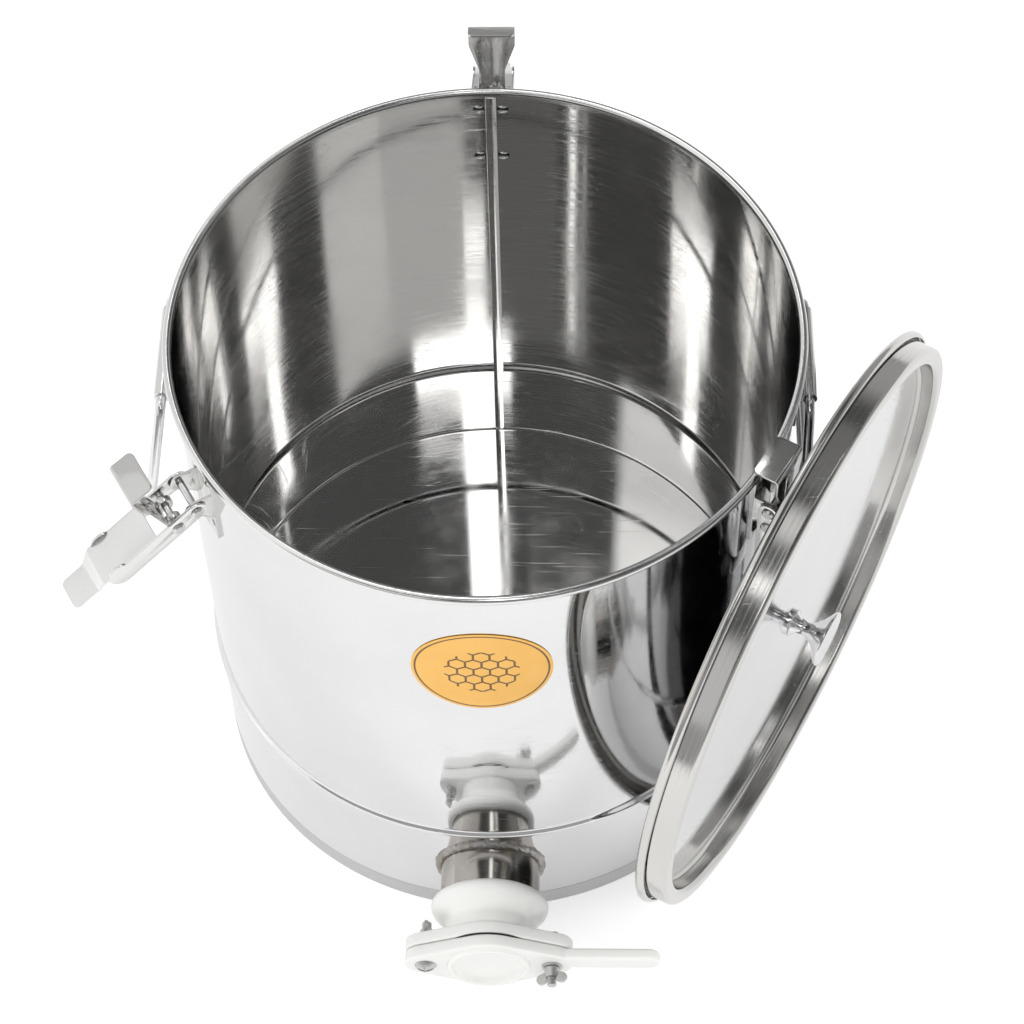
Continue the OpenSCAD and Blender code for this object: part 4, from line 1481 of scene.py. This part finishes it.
@dataclass
class Latch:
    """One over-centre latch: base, rivets, pins, lever and hook."""

    side: Side
    bearing: float
    lever_open: float = 60.0
    hook_lean: float = 25.0
    latch_r: float = 187.0
    latch_z: float = 339.0
    pin_pitch: float = 14.0
    hook_in: float = 3.3
    groove_w: float = 8.0
    groove_depth: float = 0.9
    groove_low: float = 9.0
    groove_drop: float = 4.0
    sheet_edge: float = 0.35
    pin_edge: float = 0.3
    rivet_edge: float = 0.15

    def hook_frame(self) -> Matrix:
        """Works out the hook's own frame.

        Returns:
            The frame in millimetres, with the pin along Y and the stem along Z.
        """
        lever = spin(-self.lever_open, "Y")
        hook = spin(self.lever_open + self.hook_lean, "Y")
        return (
            spin(self.bearing, "Z")
            @ Matrix.Translation((self.latch_r, 0, self.latch_z))
            @ lever
            @ Matrix.Translation((0, 0, -self.pin_pitch))
            @ hook
        )

    def press_groove(self, hook: Piece) -> Piece:
        """Sinks the back of the pressed rib into the hook's inner face.

        Args:
            hook: The hook's piece, in metres and in its place.

        Returns:
            The hook.
        """
        to_world = Matrix.Scale(MM, 4) @ self.hook_frame()
        to_hook = to_world.inverted()
        top = max((to_hook @ point.co).z for point in hook.data.vertices)
        radius = self.groove_w ** 2 / (8 * self.groove_depth) + self.groove_depth / 2
        middle = self.hook_in + self.groove_depth - radius
        name = f"{self.side.value}_hook_groove"
        tool = Bench.bar(name, middle, 0.0, radius, self.groove_low, top - self.groove_drop)
        return Bench.fit(hook, Bench.place(tool, to_world), "DIFFERENCE")

    def build(self, satin: Finish, pressed: Finish, pins: Finish) -> None:
        """Copies the latch's pieces, rounds their pressed edges and dresses them.

        Args:
            satin: Finish of the lever's sheet.
            pressed: Finish of the thicker sheet of base and hook.
            pins: Finish of pins and rivets.
        """
        side = self.side.value
        lever = f"{side}_lever_arm"
        rows = (
            ("latch_base", "tank", self.sheet_edge, pressed, Slot.LATCH),
            ("latch_rivets", "tank", self.rivet_edge, pins, Slot.PIN),
            ("base_pin", "tank", self.pin_edge, pins, Slot.PIN),
            ("lever", lever, self.sheet_edge, satin, Slot.LATCH),
            ("hook_pin", lever, self.pin_edge, pins, Slot.PIN),
            ("hook", f"{side}_hook_arm", self.sheet_edge, pressed, Slot.LATCH),
        )
        for part, body, edge, finish, slot in rows:
            node = f"{side}_{part}"
            piece = Bench.copy_node(f"{node}_pressed", node, edge)
            if part == "hook":
                self.press_groove(piece)
            Bench.deliver(piece, finish, body, slot, [node], scaled=False)


@dataclass
class DropHandle:
    """A bent rod that swings in the barrel of a bracket on the wall."""

    side: Side
    bearing: float
    swing: float
    barrel_r: float = 180.8
    barrel_z: float = 344.0
    barrel_l: float = 62.0
    rod_r: float = 3.0
    rod_in: float = 24.0
    rod_gap: float = 1.0
    bend: float = 9.0
    slope: float = 65.0
    drop: float = 54.0
    bracket_edge: float = 0.4
    bend_steps: int = 10
    grip_steps: int = 16

    def half_path(self) -> list[Pair]:
        """Draws the rod's middle line on one side.

        Returns:
            The points from the rod's end in the barrel to the grip.
        """
        start = self.barrel_l / 2 + self.rod_gap
        corner = start + self.bend * math.tan(math.radians(self.slope / 2))
        grip = corner + self.drop / math.tan(math.radians(self.slope))
        low = grip - self.bend * math.tan(math.radians(90 - self.slope / 2))
        return [
            (self.barrel_l / 2 - self.rod_in, 0.0),
            *arc(start, -self.bend, self.bend, 90, 90 - self.slope, self.bend_steps),
            *arc(low, self.bend - self.drop, self.bend, 90 - self.slope, -90, self.grip_steps),
        ]

    def build(self, polished: Finish, satin: Finish) -> None:
        """Bends the rod and dresses its bracket.

        Args:
            polished: Finish of the rod.
            satin: Finish of the bracket.
        """
        half = self.half_path()
        path = [(0, y, z) for y, z in half] + [(0, -y, z) for y, z in reversed(half)]
        rod = Bench.rod(f"{self.side.value}_handle_rod", path, self.rod_r)
        Bench.place(
            rod,
            spin(self.bearing, "Z")
            @ Matrix.Translation((self.barrel_r, 0, self.barrel_z))
            @ spin(-self.swing, "Y"),
        )
        Bench.deliver(rod, polished, f"{self.side.value}_grip", Slot.HANDLE, [f"{self.side.value}_handle"])
        node = f"{self.side.value}_handle_bracket"
        bracket = Bench.copy_node(f"{node}_pressed", node, self.bracket_edge)
        Bench.deliver(bracket, satin, "tank", Slot.HANDLE, [node], scaled=False)


@dataclass
class Lid:
    """Pressed lid with a recessed disc, raised ring and curled edge, and its flared knob."""

    bearing: float = -28.5
    lean: float = 2.25
    distance: float = 207.07
    side: float = 16.0
    height: float = 185.65
    sheet: float = 0.8
    plug_r: float = 171.7
    skirt_r: float = 181.8
    dish: float = 12.0
    corner: float = 3.0
    skirt_h: float = 15.5
    curl_r: float = 2.7
    curl_end: float = 450.0
    knob_r: float = 17.5
    knob_base_r: float = 8.5
    knob_h: float = 25.0
    knob_foot_h: float = 1.9
    knob_foot_edge: float = 0.6
    knob_rim_edge: float = 1.2
    bend_steps: int = 10
    curl_steps: int = 24
    support: float = 1.0
    foot_steps: int = 5
    rim_steps: int = 6
    knob_shares: tuple[Pair, ...] = (
        (0.27, 0.24), (0.25, 0.34), (0.26, 0.44), (0.34, 0.56),
        (0.52, 0.70), (0.75, 0.81), (0.93, 0.89), (1.0, 0.95),
    )

    @property
    def place(self) -> Matrix:
        """Place of the lid: local z runs outwards along its axis from the ring's face."""
        return (
            spin(self.bearing, "Z")
            @ Matrix.Translation((self.distance, self.side, self.height))
            @ spin(90 + self.lean, "Y")
        )

    def frame_of_grain(self) -> tuple[Triple, Triple]:
        """Works out the frame of the lid's turned grain.

        Returns:
            The lid's centre in metres and its turn.
        """
        spot = self.place.to_translation() * MM
        turn = self.place.to_euler("XYZ")
        return tuple(spot), tuple(turn)

    def section(self) -> list[Pair]:
        """Draws the lid's section.

        Returns:
            The points, out along the face and back along the underside.
        """
        face = self.plug_r - self.sheet
        low = self.corner - self.dish
        middle = self.skirt_r + self.curl_r - self.sheet
        edge = self.skirt_r - self.corner
        bend = self.bend_steps
        return [
            (0, -self.dish),
            (face - self.corner - self.support, -self.dish),
            *arc(face - self.corner, low, self.corner, 270, 360, bend),
            *arc(face + self.corner, -self.corner, self.corner, 180, 90, bend),
            *arc(edge, -self.corner, self.corner, 90, 0, bend),
            *arc(middle, -self.skirt_h, self.curl_r - self.sheet, 180, self.curl_end, self.curl_steps),
            *arc(middle, -self.skirt_h, self.curl_r, self.curl_end, 180, self.curl_steps),
            *arc(edge, -self.corner, self.corner - self.sheet, 0, 90, bend),
            *arc(face + self.corner, -self.corner, self.corner - self.sheet, 90, 180, bend),
            *arc(face - self.corner, low, self.corner + self.sheet, 360, 270, bend),
            (0, -self.dish - self.sheet),
        ]

    def build(self, sheet: Finish, chrome: Finish) -> None:
        """Turns the pan and the knob.

        Args:
            sheet: Finish of the pan.
            chrome: Finish of the knob.
        """
        pan = Bench.turn("lid_pressing", self.section(), closed=False)
        Bench.place(pan, self.place)
        Bench.deliver(pan, sheet, "lid", Slot.TANK, ["lid_pan"])
        foot = self.knob_foot_edge
        rim = self.knob_rim_edge
        flare = [(self.knob_r * r, self.knob_h * z) for r, z in self.knob_shares]
        knob = Bench.turn("lid_knob_turned", [
            (0, 0),
            (self.knob_base_r, 0),
            *arc(self.knob_base_r - foot, self.knob_foot_h, foot, 0, 90, self.foot_steps),
            *through(flare),
            *arc(self.knob_r - rim, self.knob_h - rim, rim, 0, 90, self.rim_steps),
            (0, self.knob_h),
        ], SMALL_STEPS, closed=False)
        Bench.place(knob, self.place @ Matrix.Translation((0, 0, -self.dish)))
        Bench.deliver(knob, chrome, "lid", Slot.KNOB, ["lid_knob"])


@dataclass(frozen=True)
class Panel:
    """A lit part of the room, by its bearing from the front, its height as an angle, and its brightness."""

    start: float
    end: float
    low: float
    high: float
    level: float
    soft: float = 2.0


@dataclass(frozen=True)
class Lamp:
    """A soft lamp, by its place and size in metres and its power in watts."""

    name: str
    place: Triple
    size: Pair
    power: float


class Studio:
    """White floor, a dim room for the reflections, soft lamps and the camera."""

    FLOOR_SIZE = 9.0
    AMBIENT = 0.64
    FLOOR_GLOW = 0.40
    FLOOR_SHEEN = 0.18
    FLOOR_PAINT = 0.93
    FLOOR_ROUGH = 0.9
    ROOM_R = 3.0
    ROOM_H = 3.0
    ROOM_STEPS = 96
    FACING_DOWN = -0.5
    MOUTH = 0.37
    DIM = 0.09
    PANELS = (
        Panel(56.0, 108.0, 54.0, 100.0, 1.30, 3.0),
        Panel(56.0, 108.0, -10.0, 56.0, 1.0, 3.0),
        Panel(104.0, 166.0, -10.0, 100.0, 0.80, 4.0),
        Panel(164.0, 185.0, 51.5, 75.0, 3.0, 0.8),
        Panel(-32.0, 8.0, 49.5, 52.4, 3.4, 0.9),
        Panel(-13.0, 1.0, 52.0, 75.0, 3.0, 1.2),
        Panel(-178.0, -124.0, 40.0, 75.0, 0.20, 3.0),
        Panel(-116.5, -112.0, 42.0, 60.0, 2.6, 0.7),
        Panel(-106.5, -104.0, 42.0, 60.0, 0.9, 0.7),
        Panel(-118.0, -92.0, 60.5, 72.0, 0.95, 2.0),
        Panel(66.0, 102.0, 60.5, 71.0, 0.90, 2.0),
        Panel(14.0, 64.0, 8.0, 44.0, 0.70, 3.0),
        Panel(14.0, 52.0, 61.5, 69.0, 1.80, 1.5),
        Panel(-190.0, 190.0, 82.0, 100.0, 0.85, 3.0),
        Panel(-190.0, 190.0, -10.0, 26.0, 0.40, 8.0),
    )
    LAMPS = (
        Lamp("left_box", (-2.2, -0.5, 1.6), (1.0, 1.3), 19.0),
        Lamp("right_box", (2.3, -0.4, 1.5), (1.0, 1.3), 17.0),
        Lamp("front_box", (0.2, -2.6, 1.4), (1.4, 1.0), 16.0),
    )
    LAMP_AIM = (0, 0, 0.2)
    LENS = 100.65
    SENSOR = 36.0
    IMAGE = 1024
    SHIFT = (-1.2, 0.8)
    EYE = (0.0459, -0.9713, 1.6357)
    PAN = math.radians(-1.92)
    TILT = math.radians(56.22)
    ROLL = math.radians(-1.41)

    def build(self) -> None:
        """Sets up the world, floor, room, lamps and camera."""
        bpy.context.scene.view_settings.view_transform = "Standard"
        self.world()
        self.floor()
        self.room()
        for lamp in self.LAMPS:
            self.hang(lamp)
        self.camera()

    def world(self) -> None:
        """Shows white to the eye and in reflections, and a plain level to other rays."""
        world = bpy.data.worlds.new("studio")
        bpy.context.scene.world = world
        world.use_nodes = True
        sheet = NodeSheet(world.node_tree)
        path = sheet.add("ShaderNodeLightPath").outputs
        shown = sheet.math("MAXIMUM", path["Is Camera Ray"], path["Is Glossy Ray"])
        shown = sheet.math("MAXIMUM", shown, path["Is Transmission Ray"])
        sheet.feed(world.node_tree.nodes["Background"], {
            "Color": (1, 1, 1, 1),
            "Strength": sheet.span(shown, 0.0, 1.0, self.AMBIENT, 1.0),
        })

    def floor(self) -> None:
        """Lays the pale floor, which is lifted to white for the eye and a little for reflections."""
        Bench.clear()
        bpy.ops.mesh.primitive_plane_add(size=self.FLOOR_SIZE)
        floor = bpy.context.object
        floor.name = "floor"
        material, sheet = NodeSheet.of_material("floor_paint")
        path = sheet.add("ShaderNodeLightPath").outputs
        seen = sheet.math("MULTIPLY", path["Is Camera Ray"], self.FLOOR_GLOW)
        mirrored = sheet.math("MULTIPLY", path["Is Glossy Ray"], self.FLOOR_SHEEN)
        sheet.feed(sheet.tree.nodes["Principled BSDF"], {
            "Base Color": (self.FLOOR_PAINT, self.FLOOR_PAINT, self.FLOOR_PAINT, 1),
            "Roughness": self.FLOOR_ROUGH,
            "Specular IOR Level": 0.0,
            "Emission Color": (1, 1, 1, 1),
            "Emission Strength": sheet.math("MAXIMUM", seen, mirrored),
        })
        floor.data.materials.append(material)

    def room(self) -> None:
        """Puts up a round room that shows only in reflections, dim but for its lit panels."""
        Bench.clear()
        bpy.ops.mesh.primitive_cylinder_add(
            vertices=self.ROOM_STEPS, radius=self.ROOM_R, depth=self.ROOM_H, location=(0, 0, self.ROOM_H / 2),
        )
        room = bpy.context.object
        room.name = "room"
        bpy.ops.object.transform_apply(location=True)
        bpy.ops.object.mode_set(mode="EDIT")
        bpy.ops.mesh.select_mode(type="FACE")
        bpy.ops.mesh.select_all(action="DESELECT")
        bpy.ops.object.mode_set(mode="OBJECT")
        for face in room.data.polygons:
            face.select = face.normal.z < self.FACING_DOWN
        bpy.ops.object.mode_set(mode="EDIT")
        bpy.ops.mesh.delete(type="FACE")
        bpy.ops.object.mode_set(mode="OBJECT")
        room.data.materials.append(self.room_paint())
        room.visible_camera = False
        room.visible_diffuse = False
        room.visible_shadow = False

    def room_paint(self) -> bpy.types.Material:
        """Lights the room's panels, the brightest one where they overlap.

        Returns:
            The glowing material.
        """
        material, sheet = NodeSheet.of_material("room_paint")
        x, y, z = sheet.split(sheet.place())
        reach = sheet.vector("LENGTH", sheet.flat(x, y))
        ahead = [sheet.math("MULTIPLY", part, -1.0) for part in (x, y)]
        bearing = sheet.math("DEGREES", sheet.math("ARCTAN2", *ahead))
        rise = sheet.math("SUBTRACT", z, self.MOUTH)
        height = sheet.math("DEGREES", sheet.math("ARCTAN2", rise, reach))
        level = self.DIM
        for panel in self.PANELS:
            wide = self.window(sheet, bearing, panel.start, panel.end, panel.soft)
            high = self.window(sheet, height, panel.low, panel.high, panel.soft)
            lit = sheet.math("MULTIPLY", wide, high)
            level = sheet.math("MAXIMUM", level, sheet.math("MULTIPLY", lit, panel.level))
        glow = sheet.add("ShaderNodeEmission", {"Strength": level}).outputs[0]
        sheet.feed(sheet.tree.nodes["Material Output"], {"Surface": glow})
        return material

    @staticmethod
    def window(sheet: NodeSheet, value: object, low: float, high: float, soft: float) -> Socket:
        """Tests whether a value lies between two limits.

        Args:
            sheet: Nodes of the material.
            value: Value that is tested.
            low: Lower limit.
            high: Upper limit.
            soft: Half the width of the soft edges.

        Returns:
            One inside and nothing outside.
        """
        rise = sheet.span(value, low - soft, low + soft)
        fall = sheet.span(value, high + soft, high - soft)
        return sheet.math("MINIMUM", rise, fall)

    def hang(self, lamp: Lamp) -> None:
        """Hangs a soft lamp that looks at the tank and doesn't show in reflections.

        Args:
            lamp: The lamp.
        """
        light = bpy.data.lights.new(lamp.name, "AREA")
        light.shape = "RECTANGLE"
        light.size, light.size_y = lamp.size
        light.energy = lamp.power
        hung = bpy.data.objects.new(lamp.name, light)
        look = (Vector(self.LAMP_AIM) - Vector(lamp.place)).to_track_quat("-Z", "Y")
        hung.matrix_world = Matrix.Translation(lamp.place) @ look.to_matrix().to_4x4()
        hung.visible_glossy = False
        bpy.context.scene.collection.objects.link(hung)

    def camera(self) -> None:
        """Sets the camera at the photograph's angle."""
        data = bpy.data.cameras.new("camera")
        data.lens = self.LENS
        data.sensor_width = self.SENSOR
        data.shift_x = self.SHIFT[0] / self.IMAGE
        data.shift_y = self.SHIFT[1] / self.IMAGE
        flat = math.cos(self.TILT)
        ahead = Vector((math.sin(self.PAN) * flat, math.cos(self.PAN) * flat, -math.sin(self.TILT)))
        right = Vector((math.cos(self.PAN), -math.sin(self.PAN), 0))
        up = right.cross(ahead)
        across = math.cos(self.ROLL) * right + math.sin(self.ROLL) * up
        upright = math.cos(self.ROLL) * up - math.sin(self.ROLL) * right
        camera = bpy.data.objects.new("camera", data)
        turn = Matrix((across, upright, -ahead)).transposed().to_4x4()
        camera.matrix_world = Matrix.Translation(self.EYE) @ turn
        bpy.context.scene.collection.objects.link(camera)
        bpy.context.scene.camera = camera


class Shelf:
    """Finishes of the tank's pieces."""

    def __init__(self, lid: Lid) -> None:
        """Mixes each finish.

        Args:
            lid: Lid whose place the turned grain of its ring follows.
        """
        spot, turn = lid.frame_of_grain()
        bright = (0.80, 0.80, 0.805)
        dull = (0.765, 0.765, 0.77)
        sheet_grain = {"grain": Grain.BRUSHED, "grain_scale": 1500.0, "grain_depth": 0.000005}
        self.mirror = Steel(
            "mirror_steel", bright, dull, rough=0.03, smudge=0.05, scratch=0.10, scratch_depth=0.000008,
            wave=0.0008, grain=Grain.POLISHED, grain_scale=1100.0, grain_depth=0.000003,
            bands=(
                SatinBand(Measure.RADIUS, start=175.4, blend=-0.2, pale=(0.76, 0.755, 0.745), rough=0.045),
                SatinBand(Measure.HEIGHT, start=362.0, blend=1.0, pale=(0.80, 0.795, 0.785), rough=0.14),
            ),
        )
        self.lid_sheet = Steel(
            "lid_steel", bright, dull, rough=0.05, smudge=0.05, scratch=0.08, wave=0.0006,
            grain=Grain.TURNED, grain_scale=900.0, grain_depth=0.000006, centre=spot, axis=turn,
            bands=(SatinBand(Measure.RADIUS, start=166.5, blend=1.5, pale=(0.64, 0.63, 0.61), rough=0.13),),
        )
        # Painted light: the hoop's colour is raised close to white so that it stays pale where it mirrors the
        # shaded floor beside the tank.
        self.hoop = Steel(
            "hoop_steel", (0.97, 0.965, 0.955), (0.93, 0.925, 0.915), rough=0.34, smudge=0.10, scratch=0.10,
            wave=0.0006,
        )
        # Painted shade: the pipe's colour is set darker than bare steel to stand for the dark surroundings
        # that it mirrors.
        self.pipe = Steel(
            "turned_pipe", (0.50, 0.48, 0.45), (0.33, 0.31, 0.285), rough=0.11, smudge=0.09, scratch=0.08,
            grain=Grain.TURNED, grain_scale=1500.0, grain_depth=0.00003, centre=(0, 0, 0.054),
            axis=(math.pi / 2, 0, 0),
        )
        self.weld = WeldBead()
        self.satin = Steel(
            "satin_sheet", (0.79, 0.79, 0.78), (0.74, 0.74, 0.73), rough=0.16, smudge=0.08, scratch=0.06,
            worn=0.05, **sheet_grain,
        )
        self.pressed = Steel(
            "pressed_sheet", (0.62, 0.615, 0.60), (0.52, 0.515, 0.50), rough=0.10, smudge=0.10, scratch=0.08,
            worn=0.08, **sheet_grain,
        )
        self.pin = Steel(
            "pin_steel", (0.74, 0.73, 0.71), (0.60, 0.59, 0.57), rough=0.22, smudge=0.10, scratch=0.10,
            worn=0.08,
        )
        self.rod = Steel(
            "rod_steel", (0.80, 0.80, 0.80), (0.70, 0.70, 0.70), rough=0.12, smudge=0.08, scratch=0.10,
        )
        # Painted shade: bolts, nuts and washers get a near-black steel colour, far darker than their bare
        # steel, to stand for the dark room that they mirror.
        self.bolt = Steel(
            "bolt_steel", (0.13, 0.127, 0.123), (0.07, 0.068, 0.066), rough=0.10, smudge=0.12, scratch=0.10,
            worn=0.04,
        )
        # Painted shade: the knob's chrome is set darker than bright chrome to stand for the dark room that it
        # mirrors.
        self.chrome = Steel(
            "knob_chrome", (0.50, 0.50, 0.51), (0.38, 0.38, 0.39), rough=0.05, smudge=0.06, scratch=0.06,
        )
        self.plastic = Moulded(
            "gate_plastic", (0.94, 0.94, 0.93), (0.91, 0.91, 0.895), rough=0.20, uneven=0.12,
            skin_scale=900.0, skin_depth=0.00004, coat=0.3,
        )
        self.rubber = Moulded(
            "seal_rubber", (0.020, 0.020, 0.022), (0.012, 0.012, 0.013), rough=0.5, uneven=0.15,
            skin_scale=1200.0, skin_depth=0.00004,
        )
        self.gasket = Moulded(
            "gasket_rubber", (0.82, 0.82, 0.79), (0.76, 0.76, 0.72), rough=0.45, uneven=0.12,
            skin_scale=800.0, skin_depth=0.00005,
        )

    def dress_nodes(self) -> None:
        """Dresses the nodes whose own solids are shown."""
        rows = {
            "rim_wire": self.pin,
            "lid_gasket": self.gasket,
            "knob_screw": self.bolt,
            "knob_washer": self.bolt,
        }
        for node, finish in rows.items():
            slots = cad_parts[node].material_slots
            for slot in slots:
                slot.material = finish.material()
            LOG.info("%s keeps its solid", node)


def main() -> None:
    """Builds the tank's pieces in order, then the studio."""
    logging.basicConfig(level=logging.INFO, format="%(name)s: %(message)s")
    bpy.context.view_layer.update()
    lid = Lid()
    shelf = Shelf(lid)
    Tank().build(shelf.mirror, shelf.hoop)
    Outlet().build(shelf.pipe, shelf.weld)
    Gate().build(shelf.plastic, shelf.rubber, shelf.bolt)
    latches = (
        Latch(Side.BACK, bearing=90.0),
        Latch(Side.LEFT, bearing=210.0),
        Latch(Side.RIGHT, bearing=330.0, lever_open=0.0, hook_lean=0.0),
    )
    for latch in latches:
        latch.build(shelf.satin, shelf.pressed, shelf.pin)
    handles = (
        DropHandle(Side.LEFT, bearing=180.0, swing=10.0),
        DropHandle(Side.RIGHT, bearing=0.0, swing=0.0),
    )
    for handle in handles:
        handle.build(shelf.rod, shelf.satin)
    lid.build(shelf.lid_sheet, shelf.chrome)
    shelf.dress_nodes()
    Studio().build()


if __name__ == "__main__":
    main()
